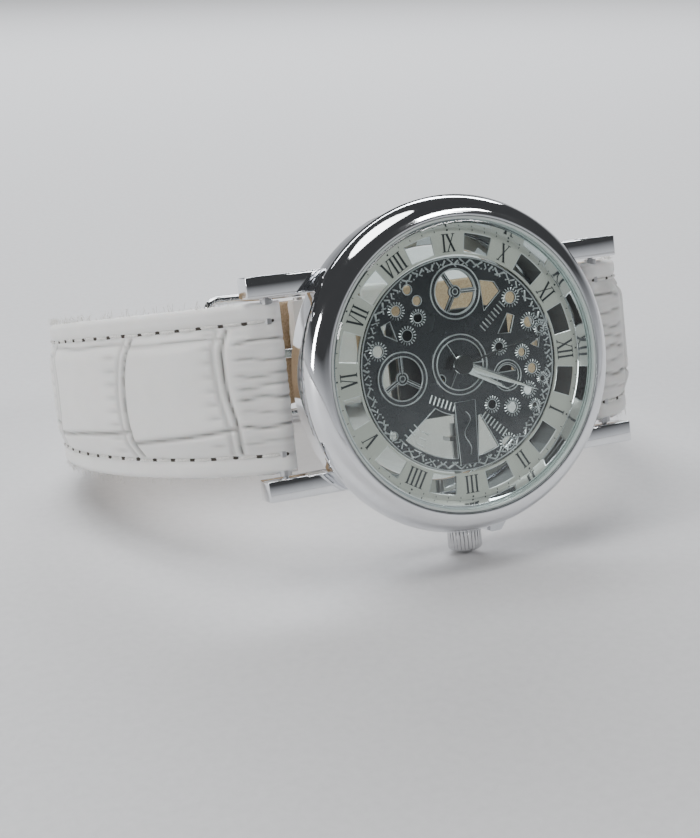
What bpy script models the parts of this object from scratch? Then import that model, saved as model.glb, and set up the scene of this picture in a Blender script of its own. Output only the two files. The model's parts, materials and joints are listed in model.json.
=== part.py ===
"""Quartz wristwatch with a see-through skeleton dial, bar lugs and a buckled leather strap.

The watch is designed in its own frame, in millimetres: X points to 12 o'clock, Y from the
dial to the case back, and Z to 9 o'clock, so the crown at 3 o'clock points to -Z. One empty
carries the whole watch and leans it back until it stands on its crown and its buckle.
"""

import math

import bmesh
import bpy
from mathutils import Matrix, Vector
from mathutils.geometry import interpolate_bezier

MM = 0.001

# Case, measured along the radius and along Y from the plane of the widest bezel circle.
BEZEL_RADIUS = 20.0
CASE_RADIUS = 19.5
CASE_FRONT = 0.75
CASE_BACK = 5.6
CASE_BORE = 16.8
GLASS_RADIUS = 17.0
GLASS_FRONT = -2.75
GLASS_BACK = -1.9
DIAL_RADIUS = 16.5
PLATE_RADIUS = 12.75
RING_STEPS = 48

# Lugs and strap. The strap is 20 mm wide at the lugs, a standard spring-bar length.
LUG_TIP = 24.5
LUG_OUTER = 13.0
LUG_INNER = 10.5
LUG_FRONT = 2.45
LUG_BACK = 5.5
PIN_X = 21.7
PIN_Y = 4.1
PIN_RADIUS = 0.75
STRAP_WIDTH = 20.0
TAIL_WIDTH = 15.6

# Buckle at the middle of the wrist's underside.
BUCKLE_X = 1.0
BUCKLE_Y = 53.4
BUCKLE_BAR_RADIUS = 0.7
BUCKLE_INNER = 8.35
BUCKLE_OUTER = 9.65
OUTER_BAR_X = -12.5
OUTER_BAR_BACK = 56.2

# Crown at 3 o'clock.
CROWN_Y = 3.2
CROWN_RADIUS = 2.1
CROWN_IN = -20.1
CROWN_OUT = -22.8
STEM_RADIUS = 0.45

# Time shown by the hands, in degrees clockwise from 12.
HOUR_ANGLE = 31.9
MINUTE_ANGLE = 23.5
SECONDS_ANGLE = 347.0

# Movement layers along Y.
PLATE_FRONT = -0.1
PLATE_BACK = 0.3
BASE_FRONT = 1.05
BASE_BACK = 1.45
COVER_FRONT = 3.5
COVER_BACK = 3.8

GAP = 0.12

MATERIALS = {
    "case": ((0.80, 0.81, 0.83), 0.08, 1.0),
    "steel": ((0.62, 0.62, 0.63), 0.25, 1.0),
    "glass": ((0.92, 0.96, 0.95), 0.02, 0.0),
    "dial": ((0.74, 0.72, 0.64), 0.35, 0.6),
    "skeleton": ((0.05, 0.05, 0.055), 0.2, 1.0),
    "brass": ((0.72, 0.53, 0.25), 0.3, 1.0),
    "copper": ((0.62, 0.28, 0.14), 0.35, 1.0),
    "board": ((0.03, 0.16, 0.09), 0.45, 0.0),
    "plastic": ((0.06, 0.06, 0.06), 0.5, 0.0),
    "rubber": ((0.02, 0.02, 0.02), 0.7, 0.0),
    "hands": ((0.78, 0.79, 0.80), 0.15, 1.0),
    "seconds": ((0.01, 0.01, 0.01), 0.3, 0.0),
    "leather": ((0.80, 0.80, 0.79), 0.45, 0.0),
    "lining": ((0.62, 0.48, 0.33), 0.65, 0.0),
}


def clear_scene():
    for item in list(bpy.data.objects):
        bpy.data.objects.remove(item, do_unlink=True)


def make_materials():
    """One Principled material for each finish; a glass one is partly see-through."""
    made = {}
    for name, (color, roughness, metallic) in MATERIALS.items():
        material = bpy.data.materials.new(name)
        material.use_nodes = True
        shader = material.node_tree.nodes["Principled BSDF"]
        shader.inputs["Base Color"].default_value = (*color, 1.0)
        shader.inputs["Roughness"].default_value = roughness
        shader.inputs["Metallic"].default_value = metallic
        if name == "glass":
            shader.inputs["Alpha"].default_value = 0.35
        made[name] = material
    return made


def add_empty(name, parent, at=(0.0, 0.0, 0.0)):
    """An empty at a point given in millimetres in its parent's frame."""
    empty = bpy.data.objects.new(name, None)
    bpy.context.scene.collection.objects.link(empty)
    empty.parent = parent
    empty.location = Vector(at) * MM
    return empty


def finish(name, bm, finish_name, parent, pivot=(0.0, 0.0, 0.0), smooth=35.0):
    """Turn a bmesh drawn in the watch's millimetres into an object whose origin is pivot."""
    bmesh.ops.recalc_face_normals(bm, faces=bm.faces[:])
    if bm.calc_volume(signed=True) < 0.0:
        bmesh.ops.reverse_faces(bm, faces=bm.faces[:])
    bmesh.ops.transform(bm, matrix=Matrix.Translation(-Vector(pivot)), verts=bm.verts[:])
    bmesh.ops.scale(bm, vec=(MM, MM, MM), verts=bm.verts[:])
    mesh = bpy.data.meshes.new(name)
    bm.to_mesh(mesh)
    bm.free()
    mesh.materials.append(FINISHES[finish_name])
    mesh.shade_smooth()
    mesh.set_sharp_from_angle(angle=math.radians(smooth))
    item = bpy.data.objects.new(name, mesh)
    bpy.context.scene.collection.objects.link(item)
    item.parent = parent
    item.location = Vector(pivot) * MM
    return item


# ---- Shape tools -------------------------------------------------------------------------

def tooth(angle, count):
    """How far a trapezoid tooth stands out at this angle, from 0 at a root to 1 at a tip."""
    phase = (angle * count / math.tau) % 1.0
    return 1.0 if 0.2 < phase < 0.6 else 0.0


def turned(bm, profile, steps=RING_STEPS, center=(0.0, 0.0), closed=True):
    """Turn a profile of (radius, y) or (radius, y, teeth, depth) points about a Y axis.

    center is the axis's x and z. A closed profile makes a ring. An open one starts and ends
    on the axis and makes a solid. Toothed points stand out by depth at each tooth.
    """
    rings = []
    for point in profile:
        radius, y = point[0], point[1]
        if radius == 0.0:
            rings.append([bm.verts.new((center[0], y, center[1]))])
            continue
        ring = []
        for step in range(steps):
            angle = math.tau * step / steps
            reach = radius
            if len(point) == 4:
                reach += point[3] * tooth(angle + math.pi / steps, point[2])
            x = center[0] + reach * math.cos(angle)
            z = center[1] + reach * math.sin(angle)
            ring.append(bm.verts.new((x, y, z)))
        rings.append(ring)
    pairs = list(zip(rings, rings[1:]))
    if closed:
        pairs.append((rings[-1], rings[0]))
    for first, second in pairs:
        for step in range(steps):
            after = (step + 1) % steps
            if len(first) == 1:
                bm.faces.new((first[0], second[after], second[step]))
            elif len(second) == 1:
                bm.faces.new((first[step], first[after], second[0]))
            else:
                bm.faces.new((first[step], first[after], second[after], second[step]))
    return bm


def circle(center, radius, count, start=0.0):
    """Points (x, z) round a circle."""
    points = []
    for step in range(count):
        angle = start + math.tau * step / count
        points.append((center[0] + radius * math.cos(angle), center[1] + radius * math.sin(angle)))
    return points


def arc(center, radius, first, last, count):
    """Points (x, z) along an arc, with the angles in degrees."""
    points = []
    for step in range(count + 1):
        angle = math.radians(first + (last - first) * step / count)
        points.append((center[0] + radius * math.cos(angle), center[1] + radius * math.sin(angle)))
    return points


def plate(bm, outline, holes, front, back):
    """A flat plate of (x, z) outlines between two Y levels, with its holes cut through."""
    edges = []
    for loop in [outline] + holes:
        verts = [bm.verts.new((x, front, z)) for x, z in loop]
        for here, there in zip(verts, verts[1:] + verts[:1]):
            edges.append(bm.edges.new((here, there)))
    faces = bmesh.ops.triangle_fill(bm, edges=edges, use_beauty=True)["geom"]
    faces = [item for item in faces if isinstance(item, bmesh.types.BMFace)]
    extruded = bmesh.ops.extrude_face_region(bm, geom=faces, use_keep_orig=True)["geom"]
    moved = [item for item in extruded if isinstance(item, bmesh.types.BMVert)]
    bmesh.ops.translate(bm, vec=(0.0, back - front, 0.0), verts=moved)
    return bm


def block(bm, low, high):
    """A box between two corners."""
    size = [h - l for l, h in zip(low, high)]
    middle = [(h + l) / 2 for l, h in zip(low, high)]
    matrix = Matrix.Translation(middle) @ Matrix.Diagonal((*size, 1.0))
    bmesh.ops.create_cube(bm, size=1.0, matrix=matrix)
    return bm


def rod(bm, radius, start, end, steps=16):
    """A straight round rod between two points."""
    start, end = Vector(start), Vector(end)
    along = end - start
    turn = along.to_track_quat("Z", "Y").to_matrix().to_4x4()
    matrix = Matrix.Translation((start + end) / 2) @ turn
    bmesh.ops.create_cone(bm, cap_ends=True, segments=steps, radius1=radius, radius2=radius,
                          depth=along.length, matrix=matrix)
    return bm


def side_profile(bm, outline, holes, half_width, middle=0.0):
    """A plate whose (x, y) outline is seen along Z, extruded to both sides of middle."""
    plate(bm, outline, holes, -half_width, half_width)
    for vert in bm.verts:
        x, level, y = vert.co
        vert.co = (x, y, middle + level)
    return bm


def drilled_z(bm, profile, steps, closed=False):
    """Turn a profile of (radius, z) points about the crown's axis, which runs along Z."""
    turned(bm, [(point[0], point[1], *point[2:]) for point in profile], steps, (0.0, 0.0), closed)
    for vert in bm.verts:
        x, along, side = vert.co
        vert.co = (x, CROWN_Y + side, along)
    return bm


def cutter(name, bm, parent):
    """A hidden tool for a Boolean."""
    tool = finish(name, bm, "steel", parent)
    tool.hide_render = True
    tool.display_type = "WIRE"
    return tool


def boolean(item, tool, operation):
    modifier = item.modifiers.new(operation.lower(), "BOOLEAN")
    modifier.operation = operation
    modifier.object = tool
    modifier.solver = "EXACT"


def route(points, per_span=5):
    """A smooth line through (x, y) points: a Bezier span between each two of them."""
    line = []
    count = len(points)
    for index in range(count - 1):
        before = Vector(points[max(index - 1, 0)])
        start = Vector(points[index])
        end = Vector(points[index + 1])
        after = Vector(points[min(index + 2, count - 1)])
        span = (end - start).length
        out_handle = start + (end - before).normalized() * span / 3
        in_handle = end - (after - start).normalized() * span / 3
        knots = [start.to_3d(), out_handle.to_3d(), in_handle.to_3d(), end.to_3d()]
        line += [point.to_2d() for point in interpolate_bezier(*knots, per_span + 1)[:-1]]
    line.append(Vector(points[-1]))
    return line


def strap_layer(bm, line, section):
    """Sweep a strap section along a line.

    section(distance, total) gives the width, the inner offset and the outer offset there.
    Offsets are measured from the line, outwards from the wrist.
    """
    lengths = [0.0]
    for here, there in zip(line, line[1:]):
        lengths.append(lengths[-1] + (there - here).length)
    total = lengths[-1]
    rings = []
    for index, point in enumerate(line):
        ahead = line[min(index + 1, len(line) - 1)] - line[max(index - 1, 0)]
        ahead.normalize()
        outward = Vector((-ahead.y, ahead.x))
        if line[0].x > 0.0:
            outward.negate()
        width, inner, outer = section(lengths[index], total)
        half = width / 2
        round_off = min(0.45, (outer - inner) / 3)
        corners = [(-half, inner), (half, inner), (half, outer - round_off),
                   (half - round_off, outer), (round_off - half, outer), (-half, outer - round_off)]
        ring = []
        for side, offset in corners:
            place = point + outward * offset
            ring.append(bm.verts.new((place.x, place.y, side)))
        rings.append(ring)
    for first, second in zip(rings, rings[1:]):
        for corner in range(6):
            after = (corner + 1) % 6
            bm.faces.new((first[corner], first[after], second[after], second[corner]))
    bm.faces.new(rings[0])
    bm.faces.new(rings[-1])
    return bm


# ---- Case --------------------------------------------------------------------------------

def add_case(watch):
    """The ring with its four bar lugs, crown shoulder, spring-bar holes and stem bore."""
    profile = [(CASE_BORE, CASE_FRONT), (CASE_RADIUS - 0.3, CASE_FRONT),
               (CASE_RADIUS, CASE_FRONT + 0.35), (CASE_RADIUS, CASE_BACK - 1.0),
               (CASE_RADIUS - 0.9, CASE_BACK), (CASE_BORE, CASE_BACK)]
    case = finish("case_middle", turned(bmesh.new(), profile), "case", watch)
    for side_x in (-1, 1):
        for side_z in (-1, 1):
            xs = sorted((side_x * 13.6, side_x * LUG_TIP))
            zs = sorted((side_z * LUG_INNER, side_z * LUG_OUTER))
            lug = block(bmesh.new(), (xs[0], LUG_FRONT, zs[0]), (xs[1], LUG_BACK, zs[1]))
            boolean(case, cutter(f"lug_tool_{side_x}_{side_z}", lug, watch), "UNION")
    outline = [(2.75, -18.0), (2.75, -20.9), (4.2, -20.9), (6.4, -18.0)]
    shoulder = plate(bmesh.new(), outline, [], 1.5, 4.9)
    boolean(case, cutter("shoulder_tool", shoulder, watch), "UNION")
    for side in (-1, 1):
        pin = rod(bmesh.new(), 0.5, (side * PIN_X, PIN_Y, -11.8), (side * PIN_X, PIN_Y, 11.8), 8)
        boolean(case, cutter(f"pin_tool_{side}", pin, watch), "DIFFERENCE")
    bore = rod(bmesh.new(), 1.35, (0.0, CROWN_Y, -15.0), (0.0, CROWN_Y, -22.0), 20)
    boolean(case, cutter("stem_bore_tool", bore, watch), "DIFFERENCE")
    return case


def add_case_rings(watch):
    """Bezel, glass, seals, inner rings and the see-through back."""
    bezel = [(GLASS_RADIUS + 0.35, -2.45), (17.7, -2.6), (18.35, -2.42), (19.0, -1.95),
             (19.55, -1.25), (19.9, -0.5), (BEZEL_RADIUS, 0.1), (19.85, 0.5), (19.5, 0.62),
             (16.75, 0.62), (16.75, GLASS_BACK + 0.12), (GLASS_RADIUS + 0.35, GLASS_BACK + 0.12)]
    finish("bezel", turned(bmesh.new(), bezel), "case", watch)
    glass = [(0.0, GLASS_FRONT), (16.7, GLASS_FRONT), (GLASS_RADIUS, GLASS_FRONT + 0.3),
             (GLASS_RADIUS, GLASS_BACK), (0.0, GLASS_BACK)]
    finish("crystal", turned(bmesh.new(), glass, closed=False), "glass", watch)
    seal = [(17.06, -2.4), (17.29, -2.4), (17.29, -1.9), (17.06, -1.9)]
    finish("crystal_gasket", turned(bmesh.new(), seal), "rubber", watch)
    rehaut = [(16.2, -0.45), (16.1, -0.3), (16.62, -0.3), (16.62, -1.7), (16.5, -1.7)]
    finish("rehaut_ring", turned(bmesh.new(), rehaut), "case", watch)
    holder = [(16.0, 0.2), (16.6, 0.2), (16.6, 4.85), (16.0, 4.85)]
    ring = finish("movement_ring", turned(bmesh.new(), holder), "plastic", watch)
    slot = block(bmesh.new(), (-0.8, 2.3, -17.2), (0.8, 5.2, -15.4))
    boolean(ring, cutter("stem_slot_tool", slot, watch), "DIFFERENCE")
    back = [(14.3, 5.9), (14.3, 7.0), (17.6, 7.0), (18.8, 6.4), (18.8, 5.9), (16.4, 5.9),
            (16.4, 5.0), (15.95, 5.0), (15.95, 5.9)]
    finish("case_back", turned(bmesh.new(), back), "case", watch)
    window = [(0.0, 6.0), (14.15, 6.0), (14.15, 6.6), (13.9, 6.8), (0.0, 6.8)]
    finish("back_crystal", turned(bmesh.new(), window, closed=False), "glass", watch)
    gasket = [(16.95, 5.66), (17.9, 5.66), (17.9, 5.84), (16.95, 5.84)]
    finish("back_gasket", turned(bmesh.new(), gasket, 40), "rubber", watch)
    for name, side in (("spring_bar_6", -1), ("spring_bar_12", 1)):
        bar = bmesh.new()
        half = [(0.0, 0.0), (PIN_RADIUS, 0.0), (PIN_RADIUS, 10.3), (0.35, 10.3), (0.35, 11.5),
                (0.0, 11.5)]
        profile = [(radius, -along) for radius, along in reversed(half[1:])]
        turned(bar, profile + half[1:], 12, closed=False)
        for vert in bar.verts:
            x, along, z = vert.co
            vert.co = (side * PIN_X + x, PIN_Y + z, along)
        bmesh.ops.remove_doubles(bar, verts=bar.verts[:], dist=1e-5)
        finish(name, bar, "steel", watch)
    tube = [(0.75, -16.9), (1.25, -16.9), (1.25, -19.9), (0.75, -19.9)]
    finish("crown_tube", drilled_z(bmesh.new(), tube, 20, closed=True), "steel", watch)


# ---- Dial --------------------------------------------------------------------------------

def dial_point(radius, clock_angle):
    """An (x, z) point at a radius and at an angle in degrees clockwise from 12 o'clock."""
    angle = math.radians(clock_angle)
    return (radius * math.cos(angle), -radius * math.sin(angle))


def ring_sector(inner, outer, first, last, steps):
    """The outline of a part of a ring, with its angles in degrees clockwise from 12."""
    points = []
    for step in range(steps + 1):
        points.append(dial_point(outer, first + (last - first) * step / steps))
    for step in range(steps + 1):
        points.append(dial_point(inner, last + (first - last) * step / steps))
    return points


def three_spoke_openings(center, radius, hub, spoke, turn):
    """The three openings left between a small wheel's spokes."""
    openings = []
    for index in range(3):
        start = turn + 120 * index
        wide = math.degrees(spoke / radius)
        narrow = math.degrees(spoke / hub)
        openings.append(arc(center, radius, start + wide, start + 120 - wide, 5)
                        + arc(center, hub, start + 120 - narrow, start + narrow, 2))
    return openings


def add_dial(watch):
    """The ring of numeral fields and windows, and the openwork plate inside it."""
    windows = []
    for index in range(12):
        middle = 30 * index + 15
        windows.append(ring_sector(13.2, 15.5, middle - 6.8, middle + 6.8, 2))
    inner = list(reversed(circle((0.0, 0.0), PLATE_RADIUS + 0.2, 60)))
    outline = circle((0.0, 0.0), DIAL_RADIUS, 60)
    numeral_ring = plate(bmesh.new(), outline, [inner] + windows, -0.28, -0.08)
    finish("numeral_ring", numeral_ring, "dial", watch)

    holes = [circle((0.0, 0.0), 0.85, 12)]
    holes += three_spoke_openings((0.3, 8.6), 2.6, 0.75, 0.22, 0)
    holes += three_spoke_openings((-7.6, -0.7), 2.6, 0.75, 0.22, 90)
    for center, radius in ROUND_HOLES:
        holes.append(circle(center, radius, 8))
    holes.append(arc((0.0, 0.0), 11.2, 225, 263, 6) + arc((0.0, 0.0), 6.0, 258, 232, 4))
    holes.append(arc((0.0, 0.0), 11.2, 277, 292, 3) + arc((0.0, 0.0), 6.6, 289, 286, 1))
    holes.append([(3.7, 9.6), (3.9, 5.9), (6.3, 8.0), (5.6, 9.2)])
    holes.append([(5.5, 3.0), (7.2, 2.9), (7.9, 4.9), (7.0, 5.3)])
    holes.append([(9.8, 1.2), (10.8, 0.7), (11.1, 1.9)])
    holes.append([(-8.4, 6.1), (-9.6, 5.6), (-9.3, 4.6), (-7.7, 3.7), (-8.0, 4.7)])
    holes.append(arc((6.2, -2.1), 1.3, 20, 160, 4))
    skeleton = plate(bmesh.new(), circle((0.0, 0.0), PLATE_RADIUS, 60), holes,
                     PLATE_FRONT, PLATE_BACK)
    finish("skeleton_plate", skeleton, "skeleton", watch)


ROUND_HOLES = [
    ((5.5, 1.4), 0.6), ((8.5, 0.4), 0.55), ((9.7, -1.7), 0.65), ((8.9, -4.2), 0.65),
    ((3.8, -5.3), 0.6), ((6.5, -6.0), 0.7), ((5.5, -10.2), 0.8), ((7.6, 7.1), 0.75),
    ((9.8, 3.9), 0.7), ((11.3, 2.9), 0.5), ((-6.4, 4.2), 0.7), ((-4.8, 6.1), 0.6),
    ((-7.5, 7.2), 0.65), ((-10.3, 2.8), 0.7), ((11.0, -3.1), 0.4), ((9.6, -6.2), 0.4),
    ((-5.8, 9.5), 0.6), ((-4.7, 8.1), 0.6), ((-2.6, -1.5), 0.6), ((-9.4, -7.2), 0.5),
]


# ---- Movement ----------------------------------------------------------------------------

THIRD_AT = (2.9, 1.9)
FIFTH_AT = (2.2, -2.6)
ROTOR_AT = (5.0, -3.2)
MINUTE_WHEEL_AT = (-1.7, -2.6)


def rounded_box(half_x, half_z, center, radius):
    """An outline (x, z) with four round corners."""
    points = []
    for index in range(4):
        turn = 90 * index
        side_x = 1 if index in (0, 3) else -1
        side_z = 1 if index in (0, 1) else -1
        corner = (center[0] + side_x * (half_x - radius), center[1] + side_z * (half_z - radius))
        points += arc(corner, radius, turn, turn + 90, 3)
    return points


def add_movement(watch):
    """The fixed pieces of the quartz movement, behind the middle of the skeleton plate."""
    outline = rounded_box(7.5, 6.2, (0.0, 0.2), 1.5)
    arbors = [circle((0.0, 0.0), 0.85, 12), circle(MINUTE_WHEEL_AT, 0.3, 8)]
    finish("movement_base", plate(bmesh.new(), outline, arbors, BASE_FRONT, BASE_BACK), "plastic",
           watch)
    holes = [circle(THIRD_AT, 0.4, 8), circle(FIFTH_AT, 0.4, 8), circle(ROTOR_AT, 0.4, 8)]
    cover = rounded_box(7.5, 6.2, (0.0, 0.2), 1.5)
    finish("movement_cover", plate(bmesh.new(), cover, holes, COVER_FRONT, COVER_BACK), "steel",
           watch)
    battery = [(0.0, 1.65), (2.4, 1.65), (2.6, 1.8), (2.6, 3.1), (2.4, 3.25), (0.0, 3.25)]
    finish("battery", turned(bmesh.new(), battery, 28, (-4.5, 3.3), closed=False), "steel", watch)
    clip = block(bmesh.new(), (-7.1, 3.33, 2.7), (-2.2, 3.43, 3.9))
    finish("battery_clip", clip, "brass", watch)
    board = block(bmesh.new(), (-7.2, 1.6, -5.7), (-3.4, 1.85, 0.3))
    finish("circuit_board", board, "board", watch)
    can = rod(bmesh.new(), 0.55, (-6.6, 2.55, -4.9), (-6.6, 2.55, -1.2), 12)
    finish("quartz_can", can, "steel", watch)
    core = rod(bmesh.new(), 0.28, (-2.0, 2.6, -4.95), (3.2, 2.6, -4.95), 8)
    finish("coil_core", core, "steel", watch)
    winding = bmesh.new()
    turned(winding, [(0.36, -1.4), (0.8, -1.4), (0.8, 2.4), (0.36, 2.4)], 16)
    for vert in winding.verts:
        x, along, z = vert.co
        vert.co = (along, 2.6 + x, -4.95 + z)
    finish("coil_winding", winding, "copper", watch)
    frame = [(3.4, -5.6), (7.0, -5.6), (7.0, -1.6), (3.6, -1.6)]
    stator = plate(bmesh.new(), frame, [circle(ROTOR_AT, 0.95, 12)], 2.45, 2.75)
    finish("stator", stator, "steel", watch)
    for index, (x, z) in enumerate(((6.6, 5.2), (-6.4, -5.1)), start=1):
        screw = [(0.0, 3.88), (0.7, 3.88), (0.7, 4.2), (0.0, 4.2)]
        finish(f"movement_screw_{index}",
               turned(bmesh.new(), screw, 12, (x, z), closed=False), "steel", watch)


def add_train(watch):
    """The wheels, each under an empty on its own axis."""
    hour_profile = [(0.62, -0.75), (0.62, 0.45), (2.1, 0.45, 14, 0.25), (2.1, 0.65, 14, 0.25),
                    (0.46, 0.65), (0.46, -0.75)]
    centre_profile = [(0.36, -1.1), (0.36, 1.7), (1.9, 1.7, 14, 0.25), (1.9, 1.9, 14, 0.25),
                      (0.22, 1.9), (0.22, -1.1)]
    seconds_profile = [(0.0, -1.45), (0.12, -1.45), (0.12, 2.1), (1.5, 2.1, 14, 0.22),
                       (1.5, 2.3, 14, 0.22), (0.12, 2.3), (0.12, 3.1), (0.0, 3.1)]
    third_profile = [(0.0, 1.62), (0.15, 1.62), (0.15, 2.1), (1.4, 2.1, 12, 0.22),
                     (1.4, 2.3, 12, 0.22), (0.15, 2.3), (0.15, 3.3), (0.0, 3.3)]
    minute_profile = [(0.0, 0.72), (0.9, 0.72, 12, 0.15), (0.9, 0.92, 12, 0.15), (0.15, 0.92),
                      (0.15, 1.6), (0.0, 1.6)]
    fifth_profile = [(0.0, 1.62), (0.15, 1.62), (0.15, 2.1), (1.45, 2.1, 12, 0.2),
                     (1.45, 2.3, 12, 0.2), (0.15, 2.3), (0.15, 3.3), (0.0, 3.3)]
    rotor_profile = [(0.0, 1.8), (0.6, 1.8), (0.6, 3.0), (0.15, 3.0), (0.15, 3.3), (0.0, 3.3)]
    wheels = [
        ("hour_wheel", (0.0, 0.0), hour_profile, 42, True),
        ("centre_wheel", (0.0, 0.0), centre_profile, 42, True),
        ("seconds_wheel", (0.0, 0.0), seconds_profile, 42, False),
        ("third_wheel", THIRD_AT, third_profile, 36, False),
        ("minute_wheel", MINUTE_WHEEL_AT, minute_profile, 36, False),
        ("fifth_wheel", FIFTH_AT, fifth_profile, 36, False),
        ("rotor", ROTOR_AT, rotor_profile, 16, False),
    ]
    holders = {}
    for name, at, profile, steps, closed in wheels:
        holder = add_empty(f"{name}_axis", watch, (at[0], 0.0, at[1]))
        holders[name] = holder
        shape = turned(bmesh.new(), profile, steps, (0.0, 0.0), closed)
        metal = "steel" if name == "rotor" else "brass"
        finish(name, shape, metal, holder)
    return holders


def hand_outline(length, width, tail):
    """A dauphine hand pointing to +X: a long kite with a short tail."""
    return [(-tail, 0.18), (-tail, -0.18), (0.9, -width / 2), (length, -0.07), (length, 0.07),
            (0.9, width / 2)]


def add_hands(holders):
    """Three hands on the centre arbors, turned to the time shown."""
    hands = [
        ("hour_hand", "hour_wheel", hand_outline(7.2, 1.15, 1.9), 0.68, -0.72, -0.52,
         HOUR_ANGLE, "hands"),
        ("minute_hand", "centre_wheel", hand_outline(10.6, 1.0, 2.2), 0.42, -1.06, -0.88,
         MINUTE_ANGLE, "hands"),
        ("seconds_hand", "seconds_wheel", hand_outline(12.4, 0.3, 3.6), 0.18, -1.42, -1.28,
         SECONDS_ANGLE, "seconds"),
    ]
    for name, wheel, outline, bore, front, back, angle, metal in hands:
        boss = circle((0.0, 0.0), bore + 0.5, 16)
        widest = 0.0
        for _, z in outline:
            widest = max(widest, z)
        reach = bore + 0.5
        start = math.degrees(math.asin(min(0.9, widest / reach)))
        tail_start = math.degrees(math.asin(0.18 / reach))
        shape = arc((0.0, 0.0), reach, start, 180 - tail_start, 6)
        shape += [outline[0], outline[1]]
        shape += arc((0.0, 0.0), reach, 180 + tail_start, 360 - start, 6)
        shape += [outline[3], outline[4]]
        item = finish(name, plate(bmesh.new(), shape, [circle((0.0, 0.0), bore, 14)], front, back),
                      metal, holders[wheel])
        item.rotation_euler = (0.0, math.radians(angle), 0.0)


# ---- Crown -------------------------------------------------------------------------------

def add_crown(watch):
    """The setting slide, and the stem and crown that turn in it, on the crown's axis."""
    slide_axis = add_empty("setting_axis", watch)
    slide = side_profile(bmesh.new(), [(-1.1, 2.2), (1.1, 2.2), (1.1, 4.1), (-1.1, 4.1)],
                         [circle((0.0, CROWN_Y), STEM_RADIUS + GAP, 12)], 0.25, -9.0)
    finish("setting_slide", slide, "steel", slide_axis)
    crown_axis = add_empty("crown_axis", slide_axis)
    stem = [(0.0, -7.2), (STEM_RADIUS, -7.2), (STEM_RADIUS, -21.5), (0.0, -21.5)]
    finish("winding_stem", drilled_z(bmesh.new(), stem, 12), "steel", crown_axis)
    seal = [(0.52, -18.2), (0.7, -18.2), (0.7, -18.8), (0.52, -18.8)]
    finish("crown_gasket", drilled_z(bmesh.new(), seal, 14, closed=True), "rubber", crown_axis)
    flutes, depth = 22, 0.14
    root = CROWN_RADIUS - depth
    crown = [(0.0, -21.6), (STEM_RADIUS + GAP, -21.6), (STEM_RADIUS + GAP, -20.6),
             (1.5, -20.6), (1.5, CROWN_IN), (root, CROWN_IN),
             (root, CROWN_IN - 0.1, flutes, depth), (root, CROWN_OUT + 0.35, flutes, depth),
             (root - 0.25, CROWN_OUT + 0.08), (1.3, CROWN_OUT), (0.0, CROWN_OUT)]
    finish("crown", drilled_z(bmesh.new(), crown, 2 * flutes), "steel", crown_axis)


# ---- Strap and buckle --------------------------------------------------------------------

LONG_LINE = [(-20.2, 4.1), (-21.7, 4.2), (-25.6, 6.4), (-31.0, 11.6), (-36.0, 20.0),
             (-38.8, 30.0), (-38.6, 40.0), (-34.6, 48.0), (-27.0, 52.5), (-18.0, 53.4),
             (-11.0, 53.5), (-5.0, 55.0), (1.5, 56.9), (8.0, 57.2), (16.0, 57.2), (23.0, 55.6)]
SHORT_LINE = [(20.2, 4.1), (21.7, 4.2), (25.2, 6.6), (29.4, 12.8), (32.8, 22.0),
              (34.2, 32.0), (32.4, 42.0), (27.6, 49.4), (20.6, 52.9), (12.0, 53.4),
              (5.0, BUCKLE_Y), (-0.4, BUCKLE_Y)]


def ease(distance, start, end):
    """Rises smoothly from 0 at start to 1 at end."""
    part = min(1.0, max(0.0, (distance - start) / (end - start)))
    return part * part * (3 - 2 * part)


def long_outer(distance, total):
    width = STRAP_WIDTH - (STRAP_WIDTH - TAIL_WIDTH) * ease(distance, 0.0, 95.0)
    width -= 9.0 * ease(distance, total - 6.0, total + 1.0)
    thick_end = 1.0 - ease(distance, 3.2, 5.0)
    inner = -0.25 - 1.45 * thick_end
    outer = 1.7 - 0.6 * ease(distance, 5.0, 70.0)
    return width, inner, outer


def long_lining(distance, total):
    width = long_outer(distance + 5.5, total + 5.5)[0] - 0.3
    return width, -1.1 - 0.4 * (1 - ease(distance, 0.0, 60.0)), -0.4


def short_outer(distance, total):
    width = STRAP_WIDTH - (STRAP_WIDTH - TAIL_WIDTH) * ease(distance, 0.0, total - 5.0)
    thick_start = 1.0 - ease(distance, 3.2, 5.0)
    thick_end = ease(distance, total - 7.0, total - 5.5)
    inner = -0.25 - 1.45 * thick_start - 1.25 * thick_end
    outer = 1.7 - 0.45 * ease(distance, 5.0, 50.0)
    return width, inner, outer


def short_lining(distance, total):
    width = short_outer(distance + 5.5, total + 13.0)[0] - 0.3
    return width, -1.1 - 0.4 * (1 - ease(distance, 0.0, 50.0)), -0.4


def trimmed(line, start, end):
    """The stretch of a line between two distances along it."""
    kept = []
    travelled = 0.0
    for here, there in zip(line, line[1:]):
        length = (there - here).length
        if travelled <= start < travelled + length:
            kept.append(here.lerp(there, (start - travelled) / length))
        if start < travelled + length < end:
            kept.append(there)
        if travelled <= end < travelled + length:
            kept.append(here.lerp(there, (end - travelled) / length))
        travelled += length
    return kept


def line_length(line):
    return sum((there - here).length for here, there in zip(line, line[1:]))


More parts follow.
